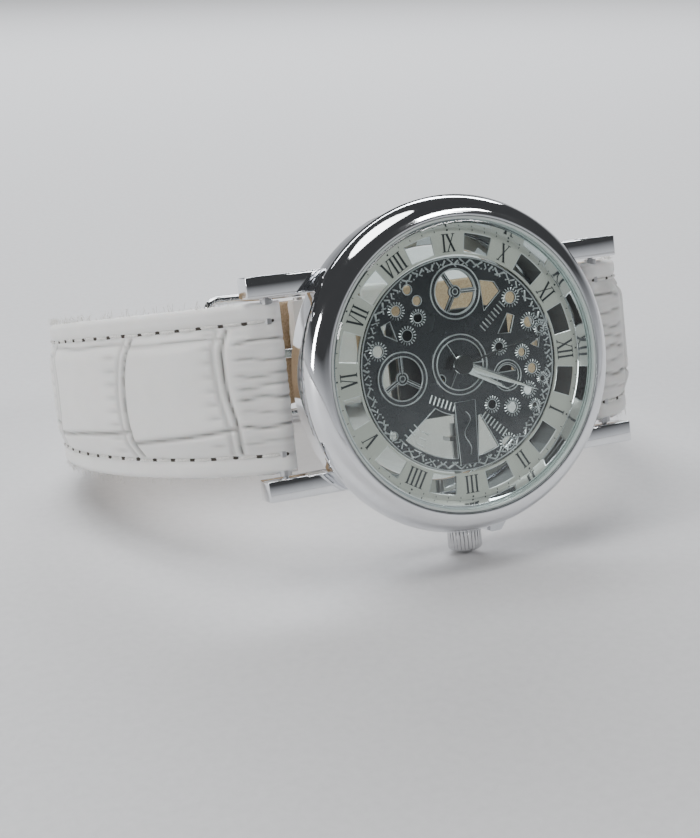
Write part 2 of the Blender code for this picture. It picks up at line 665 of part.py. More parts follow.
def add_strap(watch):
    """Both strap halves in their buckled loop, each with its lining."""
    long_line = route(LONG_LINE, 3)
    strap = finish("strap_long", strap_layer(bmesh.new(), long_line, long_outer), "leather", watch)
    pin = rod(bmesh.new(), PIN_RADIUS + 0.3, (-PIN_X, PIN_Y, -12), (-PIN_X, PIN_Y, 12), 12)
    boolean(strap, cutter("long_pin_tool", pin, watch), "DIFFERENCE")
    hole = block(bmesh.new(), (-8.2, 50.0, -1.0), (-0.2, 60.0, 1.0))
    boolean(strap, cutter("tongue_hole_tool", hole, watch), "DIFFERENCE")
    lining = trimmed(long_line, 5.5, line_length(long_line) - 1.5)
    lining_item = finish("strap_long_lining", strap_layer(bmesh.new(), lining, long_lining),
                         "lining", watch)
    lining_hole = block(bmesh.new(), (-7.6, 50.0, -1.0), (1.6, 60.0, 1.0))
    boolean(lining_item, cutter("lining_hole_tool", lining_hole, watch), "DIFFERENCE")

    short_line = route(SHORT_LINE, 3)
    strap = finish("strap_short", strap_layer(bmesh.new(), short_line, short_outer), "leather",
                   watch)
    pin = rod(bmesh.new(), PIN_RADIUS + 0.3, (PIN_X, PIN_Y, -12), (PIN_X, PIN_Y, 12), 12)
    boolean(strap, cutter("short_pin_tool", pin, watch), "DIFFERENCE")
    bar = rod(bmesh.new(), BUCKLE_BAR_RADIUS + 0.25, (BUCKLE_X, BUCKLE_Y, -12),
              (BUCKLE_X, BUCKLE_Y, 12), 12)
    boolean(strap, cutter("short_bar_tool", bar, watch), "DIFFERENCE")
    notch = block(bmesh.new(), (-2.0, 50.0, -1.1), (3.2, 56.0, 1.1))
    boolean(strap, cutter("tongue_notch_tool", notch, watch), "DIFFERENCE")
    lining = trimmed(short_line, 5.5, line_length(short_line) - 7.5)
    finish("strap_short_lining", strap_layer(bmesh.new(), lining, short_lining), "lining", watch)


def add_keeper(name, watch, x, width):
    """A keeper loop of leather round both layers of the strap."""
    outer = rounded_box(TAIL_WIDTH / 2 + 1.05, 4.05, (0.0, 0.0), 1.0)
    inner = rounded_box(TAIL_WIDTH / 2 + 0.3, 3.35, (0.0, 0.0), 0.4)
    bm = plate(bmesh.new(), outer, [inner], x - width / 2, x + width / 2)
    for vert in bm.verts:
        side, along, height = vert.co
        vert.co = (along, 55.1 + height, side)
    return finish(name, bm, "leather", watch)


def add_buckle(watch):
    """The frame, its bar, the tongue on the bar and the two keepers."""
    middle = (BUCKLE_INNER + BUCKLE_OUTER) / 2
    bend = 1.6
    path = [(2.4, 53.4, -middle), (-1.0, 53.5, -middle), (-5.0, 54.4, -middle)]
    for step in range(5):
        angle = math.radians(22.5 * step)
        x = OUTER_BAR_X + bend - bend * math.sin(angle)
        z = -middle + bend - bend * math.cos(angle)
        path.append((x, 55.5, z))
    path += [(x, y, -z) for x, y, z in reversed(path)]
    frame = bmesh.new()
    half_side, half_high = (BUCKLE_OUTER - BUCKLE_INNER) / 2, 0.7
    rings = []
    for index, point in enumerate(path):
        before = Vector(path[max(index - 1, 0)])
        after = Vector(path[min(index + 1, len(path) - 1)])
        ahead = (after - before).normalized()
        side = ahead.cross(Vector((0.0, 1.0, 0.0))).normalized()
        rise = side.cross(ahead)
        corners = []
        for across, up in ((-1, -0.6), (-0.6, -1), (0.6, -1), (1, -0.6), (1, 0.6), (0.6, 1),
                           (-0.6, 1), (-1, 0.6)):
            place = Vector(point) + side * across * half_side + rise * up * half_high
            corners.append(frame.verts.new(place))
        rings.append(corners)
    for first, second in zip(rings, rings[1:]):
        for corner in range(8):
            after = (corner + 1) % 8
            frame.faces.new((first[corner], first[after], second[after], second[corner]))
    frame.faces.new(rings[0])
    frame.faces.new(rings[-1])
    finish("buckle_frame", frame, "case", watch)
    reach = BUCKLE_INNER - 0.15
    bar = rod(bmesh.new(), BUCKLE_BAR_RADIUS, (BUCKLE_X, BUCKLE_Y, -reach),
              (BUCKLE_X, BUCKLE_Y, reach), 12)
    finish("buckle_bar", bar, "steel", watch)

    tongue_axis = add_empty("tongue_axis", watch, (BUCKLE_X, BUCKLE_Y, 0.0))
    outline = arc((0.0, 0.0), 1.35, -200, 100, 10)
    outline += [(-1.2, 1.75), (-6.0, 2.75), (-12.4, 3.85), (-13.8, 3.8), (-14.4, 3.3),
                (-12.4, 3.0), (-6.0, 1.85)]
    tongue = side_profile(bmesh.new(), outline, [circle((0.0, 0.0), BUCKLE_BAR_RADIUS + 0.1, 12)],
                          0.6)
    finish("buckle_tongue", tongue, "steel", tongue_axis)
    add_keeper("fixed_keeper", watch, 6.6, 4.5)
    add_keeper("sliding_keeper", add_empty("keeper_axis", watch), 12.6, 4.5)


# ---- Assembly ----------------------------------------------------------------------------

def stand_on_floor(watch):
    """Lean the watch back on its crown and buckle, over the middle of its own shadow."""
    crown_edge = (CROWN_Y + CROWN_RADIUS, CROWN_OUT)
    buckle_edge = (OUTER_BAR_BACK, -BUCKLE_OUTER)
    lean = math.atan2(buckle_edge[1] - crown_edge[1], buckle_edge[0] - crown_edge[0])
    watch.rotation_euler = (-lean, 0.0, 0.0)
    bpy.context.view_layer.update()
    low = Vector((1.0, 1.0, 1.0))
    high = -low
    shapes = bpy.context.evaluated_depsgraph_get()
    for item in bpy.context.scene.objects:
        if item.type != "MESH" or item.hide_render:
            continue
        shown = item.evaluated_get(shapes)
        for vert in shown.data.vertices:
            place = shown.matrix_world @ vert.co
            low = Vector(map(min, low, place))
            high = Vector(map(max, high, place))
    watch.location = (-(low.x + high.x) / 2, -(low.y + high.y) / 2, -low.z)


clear_scene()
FINISHES = make_materials()
WATCH = add_empty("watch", None)
add_case(WATCH)
add_case_rings(WATCH)
add_dial(WATCH)
add_movement(WATCH)
add_hands(add_train(WATCH))
add_crown(WATCH)
add_strap(WATCH)
add_buckle(WATCH)
stand_on_floor(WATCH)
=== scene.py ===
"""The looks of the wristwatch: polished case, skeleton dial, embossed white leather strap.

Shapes are written in the watch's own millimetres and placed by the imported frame: X points to
12 o'clock, Y from the dial to the case back, and Z to 9 o'clock.
"""

import json
import math
import random

import bmesh
import bpy
from mathutils import Matrix, Vector, noise
from mathutils.geometry import interpolate_bezier


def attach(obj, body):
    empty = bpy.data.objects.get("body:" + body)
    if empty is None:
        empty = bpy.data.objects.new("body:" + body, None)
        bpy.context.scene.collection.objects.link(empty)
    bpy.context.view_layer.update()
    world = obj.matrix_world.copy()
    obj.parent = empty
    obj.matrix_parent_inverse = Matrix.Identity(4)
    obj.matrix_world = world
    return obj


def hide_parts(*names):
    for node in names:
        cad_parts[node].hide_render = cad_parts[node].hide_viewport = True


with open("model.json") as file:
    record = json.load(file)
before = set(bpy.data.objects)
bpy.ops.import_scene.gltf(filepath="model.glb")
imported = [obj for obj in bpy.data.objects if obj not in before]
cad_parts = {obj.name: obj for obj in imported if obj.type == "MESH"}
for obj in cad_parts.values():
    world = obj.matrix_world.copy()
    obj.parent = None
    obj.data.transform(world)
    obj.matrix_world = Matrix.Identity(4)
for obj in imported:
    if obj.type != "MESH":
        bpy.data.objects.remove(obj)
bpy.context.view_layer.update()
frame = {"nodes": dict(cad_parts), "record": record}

MM = 0.001

# The watch's own frame, read from two of the record's mounts.
MOUNTS = {mount["name"]: mount for mount in frame["record"]["mounts"]}
GLASS_FRONT = -2.75
AXIS_Y = -Vector(MOUNTS["glass_front"]["axis"]).normalized()
AXIS_Z = Vector(MOUNTS["lug_side_9"]["axis"]).normalized()
AXIS_X = AXIS_Y.cross(AXIS_Z).normalized()
CENTER = Vector(MOUNTS["glass_front"]["pos_m"]) - AXIS_Y * GLASS_FRONT * MM
TURN = Matrix((AXIS_X, AXIS_Y, AXIS_Z)).transposed().to_4x4()
WATCH = Matrix.Translation(CENTER) @ TURN

# Sizes shared with the CAD, in millimetres.
DIAL_RADIUS = 16.5
PLATE_RADIUS = 12.75
PLATE_FRONT = -0.1
PLATE_BACK = 0.3
CROWN_Y = 3.2
PIN_X = 21.7
PIN_Y = 4.1
HOUR_ANGLE = 31.9
MINUTE_ANGLE = 23.5
SECONDS_ANGLE = 347.0
STEM_BORE = 1.35
LUG_ROOT = 13.6
LUG_TIP = 24.5
LUG_FRONT = 2.45
LUG_BACK = 5.5
LUG_INNER = 10.5
LUG_OUTER = 13.0
BUCKLE_X = 1.0
BUCKLE_Y = 53.4
KEEPER_Y = 55.1
ROUND_STEPS = 160


# ---- Materials ---------------------------------------------------------------------------

class Nodes:
    """A small helper that builds one node material."""

    def __init__(self, name):
        self.material = bpy.data.materials.new(name)
        self.material.use_nodes = True
        self.tree = self.material.node_tree
        self.shader = self.tree.nodes["Principled BSDF"]
        self.coords = self.tree.nodes.new("ShaderNodeTexCoord")

    def add(self, kind, **values):
        node = self.tree.nodes.new(kind)
        for key, value in values.items():
            if key in node.inputs:
                node.inputs[key].default_value = value
            else:
                setattr(node, key, value)
        return node

    def link(self, out, into):
        self.tree.links.new(out, into)

    def set(self, **values):
        for key, value in values.items():
            self.shader.inputs[key.replace("_", " ")].default_value = value

    def noise(self, scale, detail=4.0, stretch=None):
        """Noise over object coordinates, with scale in lumps per metre."""
        texture = self.add("ShaderNodeTexNoise", Scale=scale, Detail=detail)
        source = self.coords.outputs["Object"]
        if stretch is not None:
            mapping = self.add("ShaderNodeMapping", Scale=stretch)
            self.link(source, mapping.inputs["Vector"])
            source = mapping.outputs["Vector"]
        self.link(source, texture.inputs["Vector"])
        return texture.outputs["Fac"]

    def ramp(self, value, stops):
        """A colour ramp: stops are (position, colour)."""
        node = self.add("ShaderNodeValToRGB")
        elements = node.color_ramp.elements
        while len(elements) < len(stops):
            elements.new(0.5)
        for element, (position, color) in zip(elements, stops):
            element.position = position
            element.color = (*color, 1.0)
        self.link(value, node.inputs["Fac"])
        return node.outputs["Color"]

    def range(self, value, low, high, source_low=0.0, source_high=1.0):
        node = self.add("ShaderNodeMapRange")
        node.inputs["From Min"].default_value = source_low
        node.inputs["From Max"].default_value = source_high
        node.inputs["To Min"].default_value = low
        node.inputs["To Max"].default_value = high
        self.link(value, node.inputs["Value"])
        return node.outputs["Result"]

    def mix(self, factor, first, second, blend="MIX"):
        node = self.add("ShaderNodeMix", data_type="RGBA", blend_type=blend)
        for socket, value in ((node.inputs[0], factor), (node.inputs[6], first),
                              (node.inputs[7], second)):
            if isinstance(value, bpy.types.NodeSocket):
                self.link(value, socket)
            elif isinstance(value, tuple):
                socket.default_value = (*value, 1.0)
            else:
                socket.default_value = value
        return node.outputs[2]

    def attribute(self, name):
        node = self.add("ShaderNodeAttribute", attribute_name=name)
        return node.outputs["Fac"]

    def bump(self, height, strength, distance):
        node = self.add("ShaderNodeBump", Strength=strength, Distance=distance)
        self.link(height, node.inputs["Height"])
        self.link(node.outputs["Normal"], self.shader.inputs["Normal"])
        return node

    def tint(self, grain, low, high):
        """Base colour that runs from low to high with the grain."""
        tone = self.ramp(grain, [(0.3, low), (0.7, high)])
        self.link(tone, self.shader.inputs["Base Color"])

    def polish(self, grain, low, high, source_low=0.0, source_high=1.0):
        """Roughness that runs from low to high with the grain."""
        value = self.range(grain, low, high, source_low, source_high)
        self.link(value, self.shader.inputs["Roughness"])


def scaled(color, share):
    return tuple(channel * share for channel in color)


def polished_metal(name, color, roughness, scratch=0.12, wear=0.05):
    """Plated or polished metal: fine hair scratches and a slightly uneven polish."""
    build = Nodes(name)
    build.set(Metallic=1.0)
    build.tint(build.noise(900.0, 5.0), scaled(color, 0.96), color)
    build.polish(build.noise(260.0, 6.0), roughness, roughness + wear, 0.35, 0.75)
    hairs = build.noise(9000.0, 2.0, (1.0, 0.06, 0.4))
    build.bump(hairs, scratch, 0.000004)
    return build.material


def brushed_metal(name, color, roughness, stretch):
    """Satin metal brushed one way."""
    build = Nodes(name)
    build.set(Metallic=1.0)
    grain = build.noise(14000.0, 3.0, stretch)
    build.tint(grain, scaled(color, 0.82), color)
    build.polish(grain, roughness, roughness + 0.14)
    build.bump(grain, 0.35, 0.00001)
    return build.material


def clear_glass():
    """Mineral glass: clear and thin-looking, with faint dust and smears."""
    build = Nodes("mineral_glass")
    tree = build.tree
    output = tree.nodes["Material Output"]
    clear = build.add("ShaderNodeBsdfTransparent", Color=(0.93, 0.96, 0.95, 1.0))
    gloss = build.add("ShaderNodeBsdfGlossy", Color=(1.0, 1.0, 1.0, 1.0))
    smear = build.noise(120.0, 6.0)
    build.link(build.range(smear, 0.0, 0.05, 0.45, 0.8), gloss.inputs["Roughness"])
    share = build.add("ShaderNodeMixShader")
    build.link(build.range(smear, 0.035, 0.055, 0.3, 0.7), share.inputs["Fac"])
    build.link(clear.outputs["BSDF"], share.inputs[1])
    build.link(gloss.outputs["BSDF"], share.inputs[2])
    build.link(share.outputs["Shader"], output.inputs["Surface"])
    return build.material


def embossed_leather(name, color, crease_shade_color):
    """White coated leather: fine pores, painted shade in creases and grooves, a soft satin coat."""
    build = Nodes(name)
    groove = build.attribute("groove")
    cloud = build.noise(220.0, 5.0)
    base = build.ramp(cloud, [(0.3, scaled(color, 0.93)), (0.72, color)])
    # Painted shade: the groove mask mixes the base colour towards the dark grey crease colour.
    shade = build.mix(build.range(groove, 0.0, 0.92), base, crease_shade_color)
    build.link(shade, build.shader.inputs["Base Color"])
    pores = build.noise(6500.0, 3.0)
    build.polish(pores, 0.40, 0.56)
    build.set(Specular_IOR_Level=0.42, Coat_Weight=0.16, Coat_Roughness=0.38,
              Subsurface_Weight=0.08, Subsurface_Scale=0.0006)
    fine = build.add("ShaderNodeMath", operation="ADD")
    build.link(pores, fine.inputs[0])
    build.link(build.noise(1800.0, 4.0, (1.0, 1.0, 2.2)), fine.inputs[1])
    build.bump(fine.outputs["Value"], 0.28, 0.00005)
    return build.material


def suede_lining():
    """Tan lining leather with a short nap."""
    build = Nodes("tan_lining")
    nap = build.noise(3500.0, 6.0)
    build.tint(nap, (0.42, 0.29, 0.17), (0.66, 0.50, 0.33))
    build.polish(nap, 0.6, 0.85)
    build.set(Sheen_Weight=0.3, Sheen_Roughness=0.5)
    build.bump(nap, 0.4, 0.00008)
    return build.material


def thread():
    """White sewing thread with its twist."""
    build = Nodes("white_thread")
    twist = build.noise(9000.0, 2.0, (1.0, 0.3, 1.0))
    build.tint(twist, (0.55, 0.54, 0.51), (0.86, 0.85, 0.82))
    build.set(Roughness=0.7, Sheen_Weight=0.4)
    build.bump(twist, 0.5, 0.00003)
    return build.material


def satin_lacquer(name, color, roughness=0.38, metallic=0.5):
    """Dial lacquer: a very fine grain over a soft metallic colour."""
    build = Nodes(name)
    grain = build.noise(12000.0, 3.0)
    build.tint(grain, scaled(color, 0.9), color)
    build.polish(grain, roughness, roughness + 0.1)
    build.set(Metallic=metallic)
    build.bump(grain, 0.12, 0.00001)
    return build.material


def dark_rubber(name, color=(0.02, 0.02, 0.022), roughness=0.6):
    """Matt rubber, ink or moulded plastic, and the near-black painted shade in the needle holes."""
    build = Nodes(name)
    grain = build.noise(5000.0, 3.0)
    build.tint(grain, color, scaled(color, 1.7))
    build.polish(grain, roughness, roughness + 0.15)
    build.bump(grain, 0.2, 0.00002)
    return build.material


CHROME = polished_metal("polished_chrome", (0.83, 0.84, 0.86), 0.035)
STEEL = brushed_metal("satin_steel", (0.60, 0.60, 0.61), 0.24, (1.0, 0.12, 1.0))
GLASS = clear_glass()
# The second colour is a dark grey painted shade for creases, pressed grooves and stitch troughs.
LEATHER = embossed_leather("white_crocodile_leather", (0.83, 0.825, 0.805), (0.19, 0.185, 0.175))
LINING = suede_lining()
THREAD = thread()
# Near-black painted shade for the inside of the needle holes.
NEEDLE_HOLE_SHADE = dark_rubber("needle_hole_painted_shade", (0.035, 0.03, 0.025), 0.8)
DIAL = satin_lacquer("cream_dial", (0.78, 0.765, 0.70))
INK = dark_rubber("numeral_ink", (0.015, 0.015, 0.02), 0.4)
GUNMETAL = polished_metal("black_chrome", (0.10, 0.102, 0.112), 0.20, 0.3, 0.14)
RIDGE = polished_metal("bright_edge", (0.90, 0.91, 0.93), 0.30, 0.2, 0.10)
RUBBER = dark_rubber("black_rubber")
BRASS = brushed_metal("turned_brass", (0.72, 0.53, 0.26), 0.25, (1.0, 1.0, 0.1))
HANDS = polished_metal("hand_silver", (0.80, 0.81, 0.82), 0.12)
INLAY = satin_lacquer("hand_inlay", (0.86, 0.86, 0.82), 0.45, 0.0)
BLACK_LACQUER = satin_lacquer("black_lacquer", (0.02, 0.02, 0.022), 0.25, 0.0)
BOARD = satin_lacquer("circuit_green", (0.03, 0.15, 0.08), 0.4, 0.0)
PLASTIC = dark_rubber("holder_plastic", (0.03, 0.03, 0.032), 0.35)
SEAL = satin_lacquer("frosted_seal", (0.62, 0.67, 0.65), 0.3, 0.0)
COPPER = brushed_metal("copper_wire", (0.62, 0.28, 0.13), 0.3, (0.1, 1.0, 1.0))
CROWN_STEEL = polished_metal("crown_steel", (0.66, 0.66, 0.67), 0.16, 0.3, 0.1)


# ---- Shape tools -------------------------------------------------------------------------

def add_object(name, data):
    item = bpy.data.objects.new(name, data)
    bpy.context.scene.collection.objects.link(item)
    return item


def piece(name, bm, material, body, replaces=(), smooth=32.0):
    """Place a bmesh drawn in the watch's millimetres, and ride it on a body."""
    bmesh.ops.recalc_face_normals(bm, faces=bm.faces[:])
    if bm.calc_volume(signed=True) < 0.0:
        bmesh.ops.reverse_faces(bm, faces=bm.faces[:])
    bmesh.ops.scale(bm, vec=(MM, MM, MM), verts=bm.verts[:])
    mesh = bpy.data.meshes.new(name)
    bm.to_mesh(mesh)
    bm.free()
    mesh.materials.append(material)
    mesh.shade_smooth()
    mesh.set_sharp_from_angle(angle=math.radians(smooth))
    item = add_object(name, mesh)
    item.matrix_world = WATCH
    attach(item, body)
    if replaces:
        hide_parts(*replaces)
    return item


def turned(bm, profile, steps=ROUND_STEPS, center=(0.0, 0.0), closed=True, ripple=None):
    """Turn (radius, y) points about a Y axis. ripple(angle, index) adds to the radius."""
    rings = []
    for index, (radius, y) in enumerate(profile):
        if radius == 0.0:
            rings.append([bm.verts.new((center[0], y, center[1]))])
            continue
        ring = []
        for step in range(steps):
            angle = math.tau * step / steps
            reach = radius + (ripple(angle, index) if ripple else 0.0)
            x = center[0] + reach * math.cos(angle)
            z = center[1] + reach * math.sin(angle)
            ring.append(bm.verts.new((x, y, z)))
        rings.append(ring)
    pairs = list(zip(rings, rings[1:]))
    if closed:
        pairs.append((rings[-1], rings[0]))
    for first, second in pairs:
        for step in range(steps):
            after = (step + 1) % steps
            if len(first) == 1:
                bm.faces.new((first[0], second[after], second[step]))
            elif len(second) == 1:
                bm.faces.new((first[step], first[after], second[0]))
            else:
                bm.faces.new((first[step], first[after], second[after], second[step]))
    return bm


def rounded(profile, radius=0.12, steps=3):
    """Round each corner of a closed (radius, y) profile by cutting it with a short curve."""
    result = []
    count = len(profile)
    for index, point in enumerate(profile):
        here = Vector(point)
        before = Vector(profile[index - 1])
        after = Vector(profile[(index + 1) % count])
        back = before - here
        ahead = after - here
        reach = min(radius, back.length / 2.2, ahead.length / 2.2)
        start = here + back.normalized() * reach
        end = here + ahead.normalized() * reach
        for step in range(steps + 1):
            part = step / steps
            curve = start.lerp(here, part).lerp(here.lerp(end, part), part)
            result.append((curve.x, curve.y))
    return result


def circle(center, radius, count=24):
    points = []
    for step in range(count):
        angle = math.tau * step / count
        points.append((center[0] + radius * math.cos(angle), center[1] + radius * math.sin(angle)))
    return points


def arc(center, radius, first, last, count):
    points = []
    for step in range(count + 1):
        angle = math.radians(first + (last - first) * step / count)
        points.append((center[0] + radius * math.cos(angle), center[1] + radius * math.sin(angle)))
    return points


def plate(bm, outline, holes, front, back):
    """A flat plate of (x, z) outlines between two Y levels."""
    edges = []
    for loop in [outline] + holes:
        verts = [bm.verts.new((x, front, z)) for x, z in loop]
        for here, there in zip(verts, verts[1:] + verts[:1]):
            edges.append(bm.edges.new((here, there)))
    faces = bmesh.ops.triangle_fill(bm, edges=edges, use_beauty=True)["geom"]
    faces = [item for item in faces if isinstance(item, bmesh.types.BMFace)]
    extruded = bmesh.ops.extrude_face_region(bm, geom=faces, use_keep_orig=True)["geom"]
    moved = [item for item in extruded if isinstance(item, bmesh.types.BMVert)]
    bmesh.ops.translate(bm, vec=(0.0, back - front, 0.0), verts=moved)
    return bm


def join_rings(bm, rings, loop=False):
    """Faces between each ring of points and the next, and a cap on each open end."""
    pairs = list(zip(rings, rings[1:]))
    if loop:
        pairs.append((rings[-1], rings[0]))
    size = len(rings[0])
    for first, second in pairs:
        for corner in range(size):
            after = (corner + 1) % size
            bm.faces.new((first[corner], first[after], second[after], second[corner]))
    if not loop:
        bm.faces.new(rings[0])
        bm.faces.new(rings[-1])
    return bm


def slab(bm, lower, upper):
    """A thin slab between two lists of points."""
    join_rings(bm, [[bm.verts.new(point) for point in points] for points in (lower, upper)])


def wire(bm, points, radius, sides=6, loop=False, flat=1.0):
    """A rounded bead along 3-D points. flat squeezes it along Y."""
    rings = []
    count = len(points)
    for index, point in enumerate(points):
        if loop:
            before, after = points[index - 1], points[(index + 1) % count]
        else:
            before, after = points[max(index - 1, 0)], points[min(index + 1, count - 1)]
        ahead = (Vector(after) - Vector(before)).normalized()
        side = ahead.cross(Vector((0.0, 1.0, 0.0)))
        if side.length < 1e-4:
            side = Vector((1.0, 0.0, 0.0))
        side.normalize()
        rise = side.cross(ahead)
        ring = []
        for corner in range(sides):
            angle = math.tau * corner / sides
            offset = side * math.cos(angle) + rise * math.sin(angle) * flat
            ring.append(bm.verts.new(Vector(point) + offset * radius))
        rings.append(ring)
    return join_rings(bm, rings, loop)


def at_level(points, y):
    """(x, z) points lifted to 3-D at one Y level."""
    return [(x, y, z) for x, z in points]


def dial_point(radius, clock_angle):
    angle = math.radians(clock_angle)
    return (radius * math.cos(angle), -radius * math.sin(angle))


# ---- Case --------------------------------------------------------------------------------

def bend_profile(points, steps=5):
    """A smooth curve through 2-D points."""
    curve = []
    count = len(points)
    for index in range(count - 1):
        before = Vector(points[max(index - 1, 0)])
        start = Vector(points[index])
        end = Vector(points[index + 1])
        after = Vector(points[min(index + 2, count - 1)])
        span = (end - start).length
        out_handle = start + (end - before).normalized() * span / 3
        in_handle = end - (after - start).normalized() * span / 3
        knots = [start.to_3d(), out_handle.to_3d(), in_handle.to_3d(), end.to_3d()]
        curve += [tuple(point.to_2d()) for point in interpolate_bezier(*knots, steps + 1)[:-1]]
    curve.append(points[-1])
    return curve


def make_bezel():
    """A domed mirror slope, a fine step at its rim and the seat for the glass."""
    slope = bend_profile([(17.62, -2.6), (18.35, -2.42), (19.0, -1.95), (19.52, -1.25),
                          (19.84, -0.5), (19.9, -0.15)])
    step = [(19.8, -0.08), (19.8, 0.02), (20.0, 0.08), (20.0, 0.42), (19.86, 0.58), (19.4, 0.62)]
    inside = [(16.75, 0.62), (16.75, -1.78), (17.35, -1.78), (17.35, -2.42), (17.42, -2.56)]
    piece("bezel_polished", turned(bmesh.new(), slope + step + inside), CHROME, "case",
          ["bezel"], smooth=28)


def beveled_box(bm, low, high, width):
    """A bar with its edges rounded over."""
    size = [top - bottom for bottom, top in zip(low, high)]
    middle = [(top + bottom) / 2 for bottom, top in zip(low, high)]
    matrix = Matrix.Translation(middle) @ Matrix.Diagonal((*size, 1.0))
    made = bmesh.ops.create_cube(bm, size=1.0, matrix=matrix)["verts"]
    edges = {edge for vert in made for edge in vert.link_edges}
    bmesh.ops.bevel(bm, geom=list(edges), offset=width, segments=3, profile=0.5,
                    affect="EDGES")


def drilled(bm, radius, at, length):
    """The same solid with a round hole through it, along the watch's own Z."""
    bmesh.ops.recalc_face_normals(bm, faces=bm.faces)
    drill = bmesh.new()
    bmesh.ops.create_cone(drill, cap_ends=True, segments=40, radius1=radius, radius2=radius,
                          depth=length, matrix=Matrix.Translation(at))
    solids = []
    for shape in (bm, drill):
        mesh = bpy.data.meshes.new("solid")
        shape.to_mesh(mesh)
        shape.free()
        solids.append(add_object("solid", mesh))
    cut = solids[0].modifiers.new("hole", "BOOLEAN")
    cut.operation = "DIFFERENCE"
    cut.solver = "EXACT"
    cut.object = solids[1]
    bpy.context.view_layer.update()
    result = bmesh.new()
    result.from_object(solids[0], bpy.context.evaluated_depsgraph_get())
    for solid in solids:
        mesh = solid.data
        bpy.data.objects.remove(solid)
        bpy.data.meshes.remove(mesh)
    return result


def make_case_band():
    """The case band with its four bar lugs and the shoulder beside the crown."""
    band = rounded([(16.8, 0.75), (19.2, 0.75), (19.5, 1.1), (19.5, 4.6), (18.6, 5.6),
                    (16.8, 5.6)], 0.22)
    bm = drilled(turned(bmesh.new(), band), STEM_BORE, (0.0, CROWN_Y, -18.5), 8.0)
    for side_x in (-1, 1):
        for side_z in (-1, 1):
            xs = sorted((side_x * LUG_ROOT, side_x * LUG_TIP))
            zs = sorted((side_z * LUG_INNER, side_z * LUG_OUTER))
            beveled_box(bm, (xs[0], LUG_FRONT, zs[0]), (xs[1], LUG_BACK, zs[1]), 0.2)
    outline = [(2.75, -18.0), (2.75, -20.75), (2.95, -20.9), (4.0, -20.9), (4.35, -20.75),
               (6.4, -18.0)]
    plate(bm, outline, [], 1.5, 4.9)
    piece("case_band", bm, CHROME, "case", ["case_middle"])
    for side_x in (-1, 1):
        for side_z in (-1, 1):
            dimple = [(0.0, 13.04), (0.42, 13.04), (0.5, 12.98), (0.5, 12.6), (0.0, 12.6)]
            pin = turned(bmesh.new(), dimple, 24, closed=False)
            for vert in pin.verts:
                x, along, z = vert.co
                vert.co = (side_x * PIN_X + x, PIN_Y + z, side_z * along)
            piece(f"pin_end_{side_x + 1}_{side_z + 1}", pin, STEEL, "case")


def make_back():
    """The polished case back and its window."""
    back = rounded([(14.3, 5.9), (14.3, 7.0), (17.6, 7.0), (18.8, 6.4), (18.8, 5.9),
                    (16.4, 5.9), (16.4, 5.0), (15.95, 5.0), (15.95, 5.9)], 0.1)
    piece("case_back_polished", turned(bmesh.new(), back), CHROME, "case", ["case_back"])
    window = [(0.0, 6.0), (14.15, 6.0), (14.15, 6.6), (13.95, 6.8), (0.0, 6.8)]
    piece("back_glass", turned(bmesh.new(), window, closed=False), GLASS, "case",
          ["back_crystal"])


def make_glass():
    """The front glass, its seal, and the mirror wall between glass and dial."""
    front = [(0.0, GLASS_FRONT), (16.62, GLASS_FRONT), (16.85, -2.68), (17.0, -2.5),
             (17.0, -1.9), (0.0, -1.9)]
    piece("front_glass", turned(bmesh.new(), front, closed=False), GLASS, "case",
          ["crystal"])
    seal = rounded([(17.04, -2.5), (17.31, -2.5), (17.31, -1.85), (17.04, -1.85)], 0.08)
    piece("glass_seal", turned(bmesh.new(), seal), SEAL, "case", ["crystal_gasket"])
    wall = [(16.22, -0.45), (16.12, -0.3), (16.7, -0.3), (16.7, -1.74), (16.56, -1.76)]
    piece("mirror_wall", turned(bmesh.new(), wall), CHROME, "case", ["rehaut_ring"])


# ---- Numeral ring ------------------------------------------------------------------------

def ring_sector(inner, outer, first, last, steps):
    points = []
    for step in range(steps + 1):
        points.append(dial_point(outer, first + (last - first) * step / steps))
    for step in range(steps + 1):
        points.append(dial_point(inner, last + (first - last) * step / steps))
    return points


def stroke(bm, place, start, end, width, top):
    """One stroke of a numeral: a thin slab between two points in the numeral's own frame."""
    start, end = Vector(start), Vector(end)
    across = Vector((-(end - start).y, (end - start).x)).normalized() * width / 2
    corners = [start + across, end + across, end - across, start - across]
    spots = [place(corner) for corner in corners]
    slab(bm, at_level(spots, top + 0.015), at_level(spots, top - 0.02))


GLYPH_WIDTH = {"I": 0.62, "V": 1.12, "X": 1.12}
NUMERALS = ["XII", "I", "II", "III", "IIII", "V", "VI", "VII", "VIII", "IX", "X", "XI"]


def draw_numeral(bm, text, clock_angle, height=2.05, radius=14.35, top=-0.3):
    """A slim serif Roman numeral standing on the ring with its top outwards."""
    angle = math.radians(clock_angle)
    up = Vector((math.cos(angle), -math.sin(angle)))
    right = Vector((-math.sin(angle), -math.cos(angle)))
    total = sum(GLYPH_WIDTH[letter] for letter in text)
    left = -total / 2
    half = height / 2

    def place(point):
        spot = up * (radius + point.y) + right * point.x
        return (spot.x, spot.y)

    for letter in text:
        wide = GLYPH_WIDTH[letter]
        middle = left + wide / 2
        reach = wide / 2 - 0.14
        if letter == "I":
            stroke(bm, place, (middle, -half), (middle, half), 0.24, top)
            for level in (-half, half):
                stroke(bm, place, (middle - 0.26, level), (middle + 0.26, level), 0.09, top)
        else:
            foot = middle if letter == "V" else middle + reach
            stroke(bm, place, (middle - reach, half), (foot, -half), 0.25, top)
            foot = middle if letter == "V" else middle - reach
            stroke(bm, place, (middle + reach, half), (foot, -half), 0.11, top)
            levels = [half] if letter == "V" else [half, -half]
            for level in levels:
                for side in (-1, 1):
                    spot = middle + side * reach
                    stroke(bm, place, (spot - 0.2, level), (spot + 0.2, level), 0.09, top)
        left += wide


WINDOW_INNER = 13.2
WINDOW_OUTER = 15.5
WINDOW_HALF_ANGLE = 6.8
HOUR_STEP = 30
MINUTE_STEP = 6


